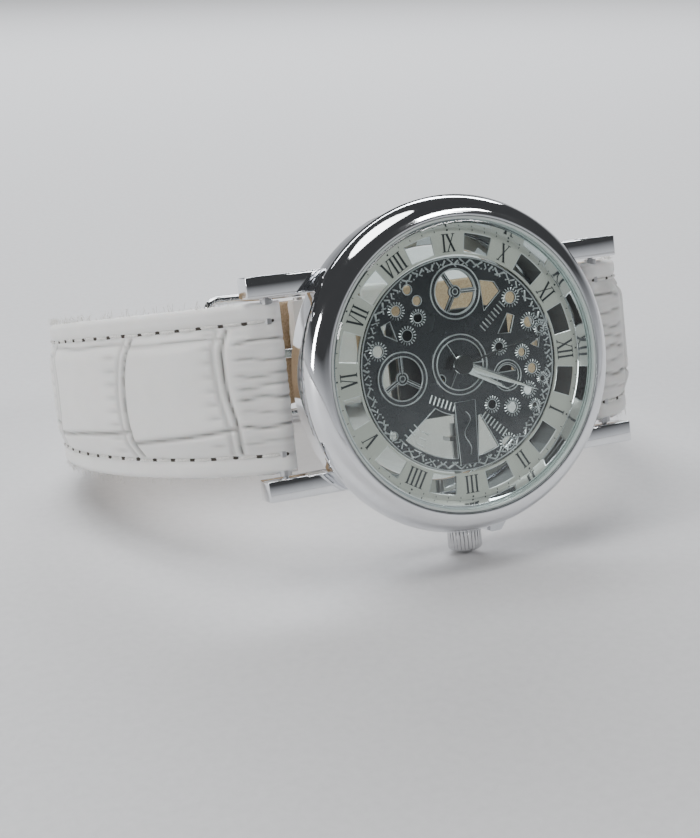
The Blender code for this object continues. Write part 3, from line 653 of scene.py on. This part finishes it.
def make_numeral_ring():
    """A ring with twelve windows between its numerals, and minute marks at its edge."""
    windows = []
    for index in range(12):
        middle = HOUR_STEP * index + HOUR_STEP / 2
        windows.append(ring_sector(WINDOW_INNER, WINDOW_OUTER, middle - WINDOW_HALF_ANGLE,
                                   middle + WINDOW_HALF_ANGLE, 6))
    inner = circle((0.0, 0.0), PLATE_RADIUS + 0.2, 120)
    shape = plate(bmesh.new(), circle((0.0, 0.0), DIAL_RADIUS, 120), [inner] + windows,
                  -0.28, -0.08)
    piece("numeral_fields", shape, DIAL, "case", ["numeral_ring"])
    bm = bmesh.new()
    for index, text in enumerate(NUMERALS):
        draw_numeral(bm, text, HOUR_STEP * index)
    for minute in range(60):
        wide = 0.2 if minute % 5 == 0 else 0.088
        first = dial_point(15.75, MINUTE_STEP * minute)
        last = dial_point(15.95, MINUTE_STEP * minute)
        stroke(bm, tuple, first, last, wide, -0.3)
    piece("numerals", bm, INK, "case")
    edges = bmesh.new()
    for outline in windows:
        wire(edges, at_level(outline, -0.27), 0.045, 5, loop=True)
    piece("window_edges", edges, RIDGE, "case")


# ---- Skeleton plate ----------------------------------------------------------------------

# Wheels as center, radius and turn; round holes as center and radius; racks as start, end and
# number of teeth. The third wheel lies over the center and has no openings of its own.
WHEELS = [((0.3, 8.6), 3.3, 0), ((-7.6, -0.7), 3.2, 90), ((0.0, 0.0), 3.65, 120)]
ROUND_HOLES = [
    ((5.5, 1.4), 0.6), ((8.5, 0.4), 0.55), ((9.7, -1.7), 0.65), ((8.9, -4.2), 0.65),
    ((3.8, -5.3), 0.6), ((6.5, -6.0), 0.7), ((5.5, -10.2), 0.8), ((7.6, 7.1), 0.75),
    ((9.8, 3.9), 0.7), ((11.3, 2.9), 0.5), ((-6.4, 4.2), 0.7), ((-4.8, 6.1), 0.6),
    ((-7.5, 7.2), 0.65), ((-10.3, 2.8), 0.7), ((11.0, -3.1), 0.4), ((9.6, -6.2), 0.4),
    ((-5.8, 9.5), 0.6), ((-4.7, 8.1), 0.6), ((-2.6, -1.5), 0.6), ((-9.4, -7.2), 0.5),
]
SMALL_WHEEL = (6.2, -2.1)
PLAIN_HOLES = 4  # the last holes of the list have no teeth round them
RACKS = [((3.5, 3.9), (6.8, 6.8), 9), ((-4.2, -3.6), (-0.8, -5.2), 8), ((2.5, -6.4), (5.1, -8.9), 8),
         ((-8.3, -8.1), (-6.4, -6.6), 4), ((-6.6, -9.4), (-5.4, -7.4), 4)]


def spoke_openings(center, radius, hub, spoke, turn):
    """The three gaps between a wheel's spokes."""
    openings = []
    for index in range(3):
        start = turn + 120 * index
        wide = math.degrees(spoke / radius)
        narrow = math.degrees(spoke / hub)
        openings.append(arc(center, radius, start + wide, start + 120 - wide, 16)
                        + arc(center, hub, start + 120 - narrow, start + narrow, 4))
    return openings


def plate_openings():
    """Every opening through the plate, as (x, z) outlines."""
    holes = []
    for center, _, turn in WHEELS[:2]:
        holes += spoke_openings(center, 2.6, 0.75, 0.22, turn)
    for center, radius in ROUND_HOLES:
        holes.append(circle(center, radius, 20))
    holes.append(arc((0.0, 0.0), 11.2, 225, 263, 14) + arc((0.0, 0.0), 6.0, 258, 232, 10))
    holes.append(arc((0.0, 0.0), 11.2, 277, 292, 8) + arc((0.0, 0.0), 6.6, 289, 286, 3))
    holes.append([(3.7, 9.6), (3.9, 5.9), (6.3, 8.0), (5.6, 9.2)])
    holes.append([(5.5, 3.0), (7.2, 2.9), (7.9, 4.9), (7.0, 5.3)])
    holes.append([(9.8, 1.2), (10.8, 0.7), (11.1, 1.9)])
    holes.append([(-8.4, 6.1), (-9.6, 5.6), (-9.3, 4.6), (-7.7, 3.7), (-8.0, 4.7)])
    holes.append(arc(SMALL_WHEEL, 1.3, 20, 160, 10))
    return holes


def toothed_ring(bm, center, radius, count, reach, level):
    """Small bright teeth standing round a hole."""
    for index in range(count):
        angle = math.tau * index / count
        near = radius + 0.14
        start = (center[0] + near * math.cos(angle), level, center[1] + near * math.sin(angle))
        far = near + reach
        end = (center[0] + far * math.cos(angle), level, center[1] + far * math.sin(angle))
        wire(bm, [start, end], 0.07, 5)


def make_plate():
    """The black openwork plate with beaded edges, toothed holes, racks and a chain border."""
    holes = plate_openings()
    center_hole = circle((0.0, 0.0), 0.85, 24)
    shape = plate(bmesh.new(), circle((0.0, 0.0), PLATE_RADIUS, 120), [center_hole] + holes,
                  PLATE_FRONT, PLATE_BACK)
    piece("skeleton_openwork", shape, GUNMETAL, "case", ["skeleton_plate"])

    top = PLATE_FRONT
    ridges = bmesh.new()
    wire(ridges, at_level(circle((0.0, 0.0), 12.62, 140), top), 0.09, 6, loop=True)
    for outline in holes:
        wire(ridges, at_level(outline, top), 0.065, 6, loop=True)
    for index, (center, radius) in enumerate(ROUND_HOLES):
        if index < len(ROUND_HOLES) - PLAIN_HOLES:
            toothed_ring(ridges, center, radius, 18, 0.3, top - 0.03)
    for first_tooth, last_tooth, count in RACKS:
        start = Vector(first_tooth)
        along = Vector(last_tooth) - start
        across = Vector((-along.y, along.x)).normalized() * 0.5
        for index in range(count):
            middle = start + along * index / (count - 1)
            first, last = middle - across, middle + across
            wire(ridges, [(first.x, top - 0.04, first.y), (last.x, top - 0.04, last.y)], 0.08, 5)
    chain = random.Random(7)
    for index in range(96):
        angle = math.tau * index / 96
        lean = chain.uniform(0.3, 0.9) * (1 if index % 2 else -1)
        inner = 11.5 + chain.uniform(0.0, 0.25)
        points = []
        for part in range(4):
            radius = inner + 0.25 * part
            turn = angle + lean * 0.035 * math.sin(part * 1.6)
            points.append((radius * math.cos(turn), top - 0.07, radius * math.sin(turn)))
        wire(ridges, points, chain.uniform(0.08, 0.13), 6)
        turn = angle + 0.035
        near = 11.55 + 0.35 * (index % 3)
        bead = [(reach * math.cos(turn), reach * math.sin(turn)) for reach in (near, near + 0.16)]
        wire(ridges, at_level(bead, top - 0.06), 0.1, 6)
    piece("bright_ridges", ridges, RIDGE, "case")


def make_wheels():
    """The three-spoked wheels and the arm that stand up from the plate."""
    top = PLATE_FRONT
    raised = bmesh.new()
    rims = bmesh.new()
    for center, radius, turn in WHEELS:
        band = plate(bmesh.new(), circle(center, radius - 0.08, 64),
                     [circle(center, radius - 0.62, 64)], top - 0.16, top + 0.02)
        append(raised, band)
        for edge in (radius - 0.08, radius - 0.62):
            wire(rims, at_level(circle(center, edge, 72), top - 0.16), 0.09, 6, loop=True)
        for index in range(3):
            angle = math.radians(turn + 120 * index)
            points = []
            for reach in (0.55, radius - 0.5):
                points.append((center[0] + reach * math.cos(angle), top - 0.1,
                               center[1] + reach * math.sin(angle)))
            wire(raised, points, 0.2, 8, flat=0.6)
            wire(rims, [(x, top - 0.22, z) for x, _, z in points], 0.05, 5)
        for edge in (0.7, 0.34):
            wire(rims, at_level(circle(center, edge, 32), top - 0.12), 0.07, 6, loop=True)
    arm = [(-1.25, -4.4), (1.5, -4.4), (1.15, -11.9), (-1.2, -11.9)]
    plate(raised, arm, [], top - 0.2, top + 0.02)
    wire(rims, at_level(arm, top - 0.2), 0.05, 5, loop=True)
    wire(rims, at_level(circle(SMALL_WHEEL, 1.85, 40), top - 0.1), 0.07, 6, loop=True)
    wire(rims, at_level(circle(SMALL_WHEEL, 1.5, 40), top - 0.1), 0.05, 6, loop=True)
    flourish = []
    for step in range(40):
        part = step / 39
        flourish.append((0.1 + 0.55 * math.sin(part * 9.0) * (1 - 0.5 * part), top - 0.22,
                         -5.6 - 5.2 * part))
    wire(rims, flourish, 0.06, 5)
    piece("raised_wheels", raised, GUNMETAL, "case")
    piece("wheel_rims", rims, RIDGE, "case")


def append(bm, other):
    """Add another bmesh's geometry to bm."""
    mesh = bpy.data.meshes.new("joining")
    other.to_mesh(mesh)
    other.free()
    bm.from_mesh(mesh)
    bpy.data.meshes.remove(mesh)


# ---- Hands -------------------------------------------------------------------------------

def make_hand(name, body, node, length, width, tail, boss, front, back, clock_angle, metal,
              inlay):
    """A long kite with a folded ridge along its middle, and a round boss."""
    angle = math.radians(clock_angle)
    along = Vector((math.cos(angle), -math.sin(angle)))
    across = Vector((math.sin(angle), math.cos(angle)))

    def spot(u, v, y):
        place = along * u + across * v
        return (place.x, y, place.y)

    bm = bmesh.new()
    stations = [(-tail, 0.13), (-0.4, 0.2), (0.9, width / 2), (length * 0.6, width * 0.3),
                (length, 0.04)]
    rings = []
    for u, half in stations:
        ring = [spot(u, -half, back), spot(u, -half, front + 0.07), spot(u, 0.0, front - 0.03),
                spot(u, half, front + 0.07), spot(u, half, back)]
        rings.append([bm.verts.new(point) for point in ring])
    join_rings(bm, rings)
    hub = [(0.0, front - 0.08), (boss - 0.08, front - 0.08), (boss, front), (boss, back),
           (0.0, back)]
    turned(bm, hub, 32, closed=False)
    piece(name, bm, metal, body, [node], smooth=20)
    if inlay:
        strip = bmesh.new()
        near, far = (1.6, width * 0.17), (length * 0.82, width * 0.07)
        upper = [spot(u, side * half, front - 0.035)
                 for side, (u, half) in ((-1, near), (-1, far), (1, far), (1, near))]
        slab(strip, [(x, y + 0.05, z) for x, y, z in upper], upper)
        piece(f"{name}_inlay", strip, INLAY, body)


def make_hands():
    make_hand("hour_hand_polished", "hours", "hour_hand", 7.2, 1.2, 0.9, 1.1, -0.72, -0.52,
              HOUR_ANGLE, HANDS, True)
    make_hand("minute_hand_polished", "minutes", "minute_hand", 10.6, 1.05, 1.0, 0.85, -1.06,
              -0.88, MINUTE_ANGLE, HANDS, True)
    make_hand("seconds_hand_black", "seconds", "seconds_hand", 12.4, 0.26, 1.6, 1.15, -1.42,
              -1.28, SECONDS_ANGLE, BLACK_LACQUER, False)


# ---- Crown -------------------------------------------------------------------------------

def make_crown():
    """A knurled crown with rounded flutes and a domed, beveled end."""
    flutes, depth = 26, 0.16

    def ripple(angle, index):
        if index in (3, 4, 5, 6):
            return depth * (abs(math.cos(angle * flutes / 2)) ** 0.6 - 1.0)
        return 0.0

    profile = [(0.0, -20.6), (0.57, -20.6), (1.5, -20.1), (1.86, -20.12), (2.06, -20.3),
               (2.08, -22.3), (1.95, -22.55), (1.55, -22.74), (1.2, -22.8), (0.0, -22.8)]
    bm = turned(bmesh.new(), profile, flutes * 12, closed=False, ripple=ripple)
    for vert in bm.verts:
        x, along, side = vert.co
        vert.co = (x, CROWN_Y + side, along)
    piece("crown_knurled", bm, CROWN_STEEL, "crown", ["crown"])


# ---- Strap -------------------------------------------------------------------------------

LONG_LINE = [(-20.2, 4.1), (-21.7, 4.2), (-25.6, 6.4), (-31.0, 11.6), (-36.0, 20.0),
             (-38.8, 30.0), (-38.6, 40.0), (-34.6, 48.0), (-27.0, 52.5), (-18.0, 53.4),
             (-11.0, 53.5), (-5.0, 55.0), (1.5, 56.9), (8.0, 57.2), (16.0, 57.2), (23.0, 55.6)]
SHORT_LINE = [(20.2, 4.1), (21.7, 4.2), (25.2, 6.6), (29.4, 12.8), (32.8, 22.0),
              (34.2, 32.0), (32.4, 42.0), (27.6, 49.4), (20.6, 52.9), (12.0, 53.4),
              (5.0, 53.4), (-0.4, 53.4)]
STITCH_PITCH = 2.75
STITCH_INSET = 2.3
STEP_ALONG = 0.3
COLUMNS = 72


def ease(value, start, end):
    part = min(1.0, max(0.0, (value - start) / (end - start)))
    return part * part * (3 - 2 * part)


class Line:
    """A smooth route through (x, y) points, read by distance along it."""

    def __init__(self, points):
        self.points = [Vector(point) for point in bend_profile(points, 24)]
        self.lengths = [0.0]
        for here, there in zip(self.points, self.points[1:]):
            self.lengths.append(self.lengths[-1] + (there - here).length)
        self.total = self.lengths[-1]
        self.sign = 1.0 if points[0][0] < 0.0 else -1.0
        self.cursor = 0

    def at(self, distance):
        """The point, the direction along the strap, and the direction away from the wrist."""
        distance = min(max(distance, 0.0), self.total - 1e-6)
        if self.lengths[self.cursor] > distance:
            self.cursor = 0
        while self.lengths[self.cursor + 1] < distance:
            self.cursor += 1
        index = self.cursor
        start, end = self.points[index], self.points[index + 1]
        part = (distance - self.lengths[index]) / (end - start).length
        before = self.points[max(index - 6, 0)]
        after = self.points[min(index + 7, len(self.points) - 1)]
        ahead = (after - before).normalized()
        outward = Vector((-ahead.y, ahead.x)) * self.sign
        return start.lerp(end, part), ahead, outward

    def place(self, distance, across, outwards):
        point, _, outward = self.at(distance)
        spot = point + outward * outwards
        return Vector((spot.x, spot.y, across))


def long_shape(distance, total):
    """Width, inner offset and outer offset of the long half, as in the CAD."""
    width = 20.0 - 4.4 * ease(distance, 0.0, 95.0)
    width -= 9.0 * ease(distance, total - 6.0, total + 1.0)
    thick_end = 1.0 - ease(distance, 3.2, 5.0)
    return width, -0.25 - 1.45 * thick_end, 1.7 - 0.6 * ease(distance, 5.0, 70.0)


def short_shape(distance, total):
    """Width, inner offset and outer offset of the short half, as in the CAD."""
    width = 20.0 - 4.4 * ease(distance, 0.0, total - 5.0)
    thick_start = 1.0 - ease(distance, 3.2, 5.0)
    thick_end = ease(distance, total - 7.0, total - 5.5)
    inner = -0.25 - 1.45 * thick_start - 1.25 * thick_end
    return width, inner, 1.7 - 0.45 * ease(distance, 5.0, 50.0)


def dip(distance, width):
    """A soft groove: 1 on its line and 0 a few widths away."""
    return math.exp(-(distance / width) ** 2)


CREASES = [5.7, 3.6, 1.8, 0.5, -0.9, -2.5, -4.1, -5.9]
CREASE_DEPTHS = [1.0, 0.7, 0.75, 0.7, 0.95, 0.65, 1.0, 0.6]
TILE_EDGES = [6.6, 20.4, 38.5, 52.0, 65.5, 79.0, 92.5, 106.0]


def embossing(s, v, half):
    """How deep the crocodile pattern is pressed at distance s and place v across."""
    inside = ease(half - STITCH_INSET - abs(v), 0.15, 0.6)
    wander = 0.35 * noise.noise(Vector((s * 0.12, v * 0.18, 3.0)))
    depth = 0.0
    for index, tile_edge in enumerate(TILE_EDGES):
        edge = tile_edge + wander * 1.6
        edge += 0.55 * math.sin(v * 0.34 + index * 1.9) - 0.012 * v * v
        depth = max(depth, dip(s - edge, 0.26), 0.55 * dip(s - edge - 1.15, 0.3))
    if s > TILE_EDGES[0] - 0.4:
        index = 0
        while index + 2 < len(TILE_EDGES) and TILE_EDGES[index + 1] <= s:
            index += 1
        upper = half - STITCH_INSET - 1.35 + 0.5 * math.sin(index * 2.1) + wander
        tile_length = TILE_EDGES[index + 1] - TILE_EDGES[index]
        part = max(0.0, s - TILE_EDGES[index]) / tile_length
        lower = -(half - STITCH_INSET) + 3.4 - 1.5 * part * math.sin(1.3 + index) + wander
        depth = max(depth, 0.6 * dip(v - upper, 0.22), 0.95 * dip(v - lower, 0.24))
        notch = dip(part - 0.13, 0.07) * (0.5 + 0.5 * math.sin(v * 3.9 + index)) ** 4
        depth = max(depth, 0.42 * notch)
    fold = 1.0 - ease(s, TILE_EDGES[0] - 1.9, TILE_EDGES[0] - 0.5)
    if fold > 0.0:
        for level, strength in zip(CREASES, CREASE_DEPTHS):
            bend = level + 0.18 * math.sin(s * 0.9 + level)
            depth = max(depth, fold * strength * dip(v - bend, 0.2))
        fine = 0.5 + 0.5 * noise.noise(Vector((s * 0.35, v * 2.6, 9.0)))
        depth = max(depth, fold * 0.32 * fine)
    return depth * inside


def pad_profile(v, half):
    """The cushion across the strap: full in the middle, low at the stitches, a rolled edge."""
    reach = half - abs(v)
    dome = ease(reach, STITCH_INSET, STITCH_INSET + 2.6)
    trough = dip(reach - STITCH_INSET, 0.42)
    rolled = ease(reach, 0.0, 0.55)
    return 0.56 + 0.44 * dome - 0.16 * trough, rolled


def strap_skin(name, line, shape, body, node):
    """The embossed outer leather of one strap half."""
    bm = bmesh.new()
    layer = bm.verts.layers.float.new("groove")
    rings = []
    count = int(line.total / STEP_ALONG)
    for row in range(count + 1):
        s = line.total * row / count
        width, inner, outer = shape(s, line.total)
        half = width / 2
        rough = 0.10 * noise.noise(Vector((s * 1.1, 4.0, 1.0)))
        end_round = math.sqrt(max(0.05, 1.0 - (1.0 - min(1.0, s / 1.4)) ** 2))
        ring = []
        for column in range(COLUMNS + 1):
            even = column / COLUMNS
            crowded = 0.5 - 0.5 * math.cos(math.pi * even)
            v = -half + width * (0.75 * even + 0.25 * crowded)
            pad, rolled = pad_profile(v, half)
            press = embossing(s, v, half)
            high = outer * pad * (0.35 + 0.65 * rolled) * end_round - 0.42 * press
            edge = rough * (1.0 - rolled) * (1 if v > 0 else -1)
            vert = bm.verts.new(line.place(s, v + edge, high))
            # Painted shade mask: pressed creases and the stitch trough darken the leather in the
            # material.
            vert[layer] = min(1.0, press * 0.9 + 0.25 * dip(half - abs(v) - STITCH_INSET, 0.25))
            ring.append(vert)
        for column in range(7):
            v = half - 0.05 - (width - 0.1) * column / 6
            vert = bm.verts.new(line.place(s, v, inner * end_round))
            # The sides and underside take a fixed 0.3 of the same dark mix.
            vert[layer] = 0.3
            ring.append(vert)
        rings.append(ring)
    join_rings(bm, rings)
    return piece(name, bm, LEATHER, body, [node], smooth=60)


def strap_lining(name, line, shape, body, node, start, end):
    """The tan leather on the wrist side."""
    bm = bmesh.new()
    rings = []
    count = int((end - start) / 0.6)
    for row in range(count + 1):
        s = start + (end - start) * row / count
        width, _, _ = shape(s, line.total)
        half = width / 2 - 0.12
        ragged = 0.08 * noise.noise(Vector((s * 1.7, 8.0, 2.0)))
        thin = -1.1 - 0.4 * (1 - ease(s, 0.0, 60.0))
        section = [(-half - ragged, -0.34), (half + ragged, -0.34), (half + ragged, thin + 0.2),
                   (half - 0.25, thin), (0.0, thin - 0.02), (0.25 - half, thin),
                   (-half - ragged, thin + 0.2)]
        rings.append([bm.verts.new(line.place(s, v, offset)) for v, offset in section])
    join_rings(bm, rings)
    return piece(name, bm, LINING, body, [node])


def strap_stitches(name, line, shape, first, last):
    """A line of thread on both sides, each stitch sinking into a needle hole of near-black painted
    shade.
    """
    threads = bmesh.new()
    holes = bmesh.new()
    wobble = random.Random(11)
    count = int((last - first) / STITCH_PITCH)
    for side in (-1, 1):
        for index in range(count):
            s = first + STITCH_PITCH * index
            width, _, outer = shape(s, line.total)
            v = side * (width / 2 - STITCH_INSET) + wobble.uniform(-0.1, 0.1)
            level = outer * 0.42
            points = []
            for part in (0.10, 0.22, 0.36, 0.5, 0.64, 0.78, 0.90):
                lift = 0.32 * math.sin(math.pi * (part - 0.05) / 0.9) - 0.20
                points.append(line.place(s + STITCH_PITCH * part, v, level + lift))
            wire(threads, points, 0.17, 8)
            # Each needle hole is a shallow dent coloured near-black: painted shade for its depth.
            rim = []
            for step in range(10):
                angle = math.tau * step / 10
                place = line.place(s + 0.42 * math.cos(angle), v + 0.27 * math.sin(angle),
                                   level + 0.035)
                rim.append(holes.verts.new(place))
            floor = [holes.verts.new(line.place(s, v, level - 0.12))]
            holes.faces.new(rim)
            for step in range(10):
                holes.faces.new((rim[step], rim[(step + 1) % 10], floor[0]))
    piece(f"{name}_thread", threads, THREAD, "case")
    piece(f"{name}_needle_hole_shade", holes, NEEDLE_HOLE_SHADE, "case")


def strap_fibres(name, line, shape, first, last, count):
    """Loose fibres along the cut edges."""
    bm = bmesh.new()
    stray = random.Random(5)
    for _ in range(count):
        s = stray.uniform(first, last)
        side = stray.choice((-1, 1))
        width, inner, outer = shape(s, line.total)
        length = stray.uniform(0.15, 1.0) ** 1.6
        offset = stray.uniform(inner * 0.4, outer * 0.5)
        lean = stray.uniform(-0.5, 0.5)
        curl = stray.uniform(-0.3, 0.3)
        points = []
        for part in (0.0, 0.5, 1.0):
            points.append(line.place(s + lean * part * length,
                                     side * (width / 2 - 0.05 + length * part),
                                     offset + curl * part * part))
        wire(bm, points, 0.028, 3)
    piece(name, bm, THREAD, "case")


def make_strap():
    long_line, short_line = Line(LONG_LINE), Line(SHORT_LINE)
    strap_skin("long_strap_leather", long_line, long_shape, "case", "strap_long")
    strap_skin("short_strap_leather", short_line, short_shape, "case", "strap_short")
    strap_lining("long_strap_lining", long_line, long_shape, "case", "strap_long_lining", 4.6,
                 long_line.total - 1.2)
    strap_lining("short_strap_lining", short_line, short_shape, "case", "strap_short_lining",
                 4.6, short_line.total - 7.2)
    strap_stitches("long_strap", long_line, long_shape, 1.4, long_line.total - 7.0)
    strap_stitches("short_strap", short_line, short_shape, 1.4, short_line.total - 9.0)
    strap_fibres("long_strap_fibres", long_line, long_shape, 5.0, 60.0, 460)
    strap_fibres("short_strap_fibres", short_line, short_shape, 5.0, 50.0, 300)


# ---- Buckle and keepers ------------------------------------------------------------------

def rounded_box(half_x, half_z, radius, steps=6):
    """A rectangle with round corners."""
    points = []
    for index in range(4):
        turn = 90 * index
        side_x = 1 if index in (0, 3) else -1
        side_z = 1 if index in (0, 1) else -1
        corner = (side_x * (half_x - radius), side_z * (half_z - radius))
        points += arc(corner, radius, turn, turn + 90, steps)
    return points


KEEPER_WIDTH = 4.5
# The keeper's section: share of its width, and depth from its outside to its inside.
KEEPER_SECTION = [(0.5, 0.16), (0.47, 0.05), (0.40, 0.0), (0.2, 0.0), (0.0, 0.02), (-0.2, 0.0),
                  (-0.40, 0.0), (-0.47, 0.05), (-0.5, 0.16), (-0.48, 1.0), (0.48, 1.0)]


def make_keeper(name, node, body, x):
    """A leather loop with rolled edges, going round both layers of the strap."""
    bm = bmesh.new()
    rings = []
    outline = rounded_box(8.85, 4.05, 1.0)
    inner = rounded_box(8.1, 3.35, 0.4)
    for (out_z, out_y), (in_z, in_y) in zip(outline, inner):
        out_point, in_point = Vector((out_z, out_y)), Vector((in_z, in_y))
        ring = []
        for share, depth in KEEPER_SECTION:
            spot = out_point.lerp(in_point, depth)
            ring.append(bm.verts.new((x + share * KEEPER_WIDTH, KEEPER_Y + spot.y, spot.x)))
        rings.append(ring)
    join_rings(bm, rings, loop=True)
    piece(name, bm, LEATHER, body, [node])


def make_buckle():
    """A polished round-cornered frame, and the tongue hung on its bar and resting on the outer bar.
    """
    middle, bend = 9.0, 1.6
    path = [(2.4, BUCKLE_Y, -middle), (0.6, 53.42, -middle), (-1.0, 53.5, -middle),
            (-5.0, 54.4, -middle), (-8.6, 55.15, -middle)]
    for step in range(9):
        angle = math.radians(90 * step / 8)
        path.append((-12.5 + bend - bend * math.sin(angle), 55.5,
                     -middle + bend - bend * math.cos(angle)))
    path += [(x, y, -z) for x, y, z in reversed(path)]
    piece("buckle_polished", wire(bmesh.new(), path, 0.68, 16), CHROME, "case",
          ["buckle_frame"])
    bm = bmesh.new()
    outline = arc((0.0, 0.0), 1.35, -200, 100, 24)
    outline += [(-1.2, 1.75), (-6.0, 2.75), (-12.4, 3.85), (-13.8, 3.8), (-14.4, 3.3),
                (-12.4, 3.0), (-6.0, 1.85)]
    plate(bm, outline, [circle((0.0, 0.0), 0.8, 24)], -0.6, 0.6)
    for vert in bm.verts:
        x, level, y = vert.co
        vert.co = (BUCKLE_X + x, BUCKLE_Y + y, level)
    sharp = [edge for edge in bm.edges if edge.calc_face_angle(0) > 0.9]
    bmesh.ops.bevel(bm, geom=sharp, offset=0.12, segments=2, profile=0.5, affect="EDGES")
    piece("tongue_polished", bm, CHROME, "tongue", ["buckle_tongue"])
    make_keeper("fixed_keeper_leather", "fixed_keeper", "case", 6.6)
    make_keeper("sliding_keeper_leather", "sliding_keeper", "keeper", 12.6)


# ---- CAD pieces that stay ----------------------------------------------------------------

KEPT = [
    (STEEL, ["spring_bar_6", "spring_bar_12", "crown_tube", "buckle_bar", "winding_stem",
             "setting_slide", "battery", "quartz_can", "coil_core", "stator", "rotor",
             "movement_cover", "movement_screw_1", "movement_screw_2"]),
    (BRASS, ["battery_clip", "fifth_wheel", "seconds_wheel", "third_wheel", "centre_wheel",
             "minute_wheel", "hour_wheel"]),
    (PLASTIC, ["movement_base", "movement_ring"]),
    (RUBBER, ["crown_gasket", "back_gasket"]),
    (BOARD, ["circuit_board"]),
    (COPPER, ["coil_winding"]),
]


def dress_kept_nodes():
    """Give the CAD pieces that are shown as they are their own materials."""
    for material, nodes in KEPT:
        for node in nodes:
            mesh = frame["nodes"][node].data
            mesh.materials.clear()
            mesh.materials.append(material)


# ---- Stage -------------------------------------------------------------------------------

LENS = 66.15
CAMERA_AT = (-81.63, -162.60, 16.27)
CAMERA_YAW, CAMERA_PITCH, CAMERA_ROLL = 22.396, 6.705, -6.188


def make_camera():
    """The camera, placed and turned in the watch's own frame."""
    data = bpy.data.cameras.new("camera")
    data.lens = LENS
    data.sensor_width = 36.0
    data.clip_start = 0.01
    camera = add_object("camera", data)
    turn = (Matrix.Rotation(math.radians(CAMERA_ROLL), 4, "Y")
            @ Matrix.Rotation(math.radians(CAMERA_PITCH), 4, "X")
            @ Matrix.Rotation(math.radians(CAMERA_YAW), 4, "Z")).inverted()
    look_along_y = Matrix.Rotation(math.radians(90), 4, "X")
    camera.matrix_world = (WATCH @ Matrix.Translation(Vector(CAMERA_AT) * MM) @ turn
                           @ look_along_y)
    bpy.context.scene.camera = camera


def make_floor():
    """A plain pale floor."""
    bm = bmesh.new()
    bmesh.ops.create_grid(bm, x_segments=8, y_segments=8, size=6.0)
    mesh = bpy.data.meshes.new("floor")
    bm.to_mesh(mesh)
    bm.free()
    build = Nodes("pale_floor")
    build.tint(build.noise(900.0, 4.0), (0.60, 0.60, 0.61), (0.64, 0.64, 0.65))
    build.set(Roughness=0.7)
    mesh.materials.append(build.material)
    add_object("floor", mesh)


LIGHT_TARGET = (0.0, 0.0, 0.02)


def add_light(name, at, size, power, color=(1.0, 1.0, 1.0)):
    data = bpy.data.lights.new(name, "AREA")
    data.shape = "RECTANGLE"
    data.size, data.size_y = size
    data.energy = power
    data.color = color
    light = add_object(name, data)
    light.location = at
    toward = Vector(LIGHT_TARGET) - Vector(at)
    light.rotation_euler = toward.to_track_quat("-Z", "Y").to_euler()


def make_light():
    """A wide soft sun and three strips, in a room that is pale low down and dark above."""
    world = bpy.data.worlds.new("studio")
    bpy.context.scene.world = world
    world.use_nodes = True
    tree = world.node_tree
    background = tree.nodes["Background"]
    background.inputs["Color"].default_value = (0.94, 0.96, 1.0, 1.0)
    place = tree.nodes.new("ShaderNodeTexCoord")
    split = tree.nodes.new("ShaderNodeSeparateXYZ")
    fade = tree.nodes.new("ShaderNodeMapRange")
    fade.inputs["From Min"].default_value = 0.0
    fade.inputs["From Max"].default_value = 0.28
    fade.inputs["To Min"].default_value = 0.70
    fade.inputs["To Max"].default_value = 0.06
    tree.links.new(place.outputs["Generated"], split.inputs["Vector"])
    tree.links.new(split.outputs["Z"], fade.inputs["Value"])
    tree.links.new(fade.outputs["Result"], background.inputs["Strength"])
    sun = bpy.data.lights.new("overhead", "SUN")
    sun.energy = 2.3
    sun.angle = math.radians(38)
    overhead = add_object("overhead", sun)
    overhead.rotation_euler = (math.radians(-12), math.radians(-9), 0.0)
    add_light("back_strip", (0.15, 0.62, 0.40), (0.9, 0.14), 6.0, (0.93, 0.96, 1.0))
    add_light("side_strip", (-0.60, -0.05, 0.22), (0.10, 0.30), 2.2)
    add_light("front_fill", (0.35, -0.55, 0.50), (0.22, 0.10), 1.6)


make_camera()
make_floor()
make_light()
make_bezel()
make_case_band()
make_back()
make_glass()
make_numeral_ring()
make_plate()
make_wheels()
make_hands()
make_crown()
make_strap()
make_buckle()
dress_kept_nodes()
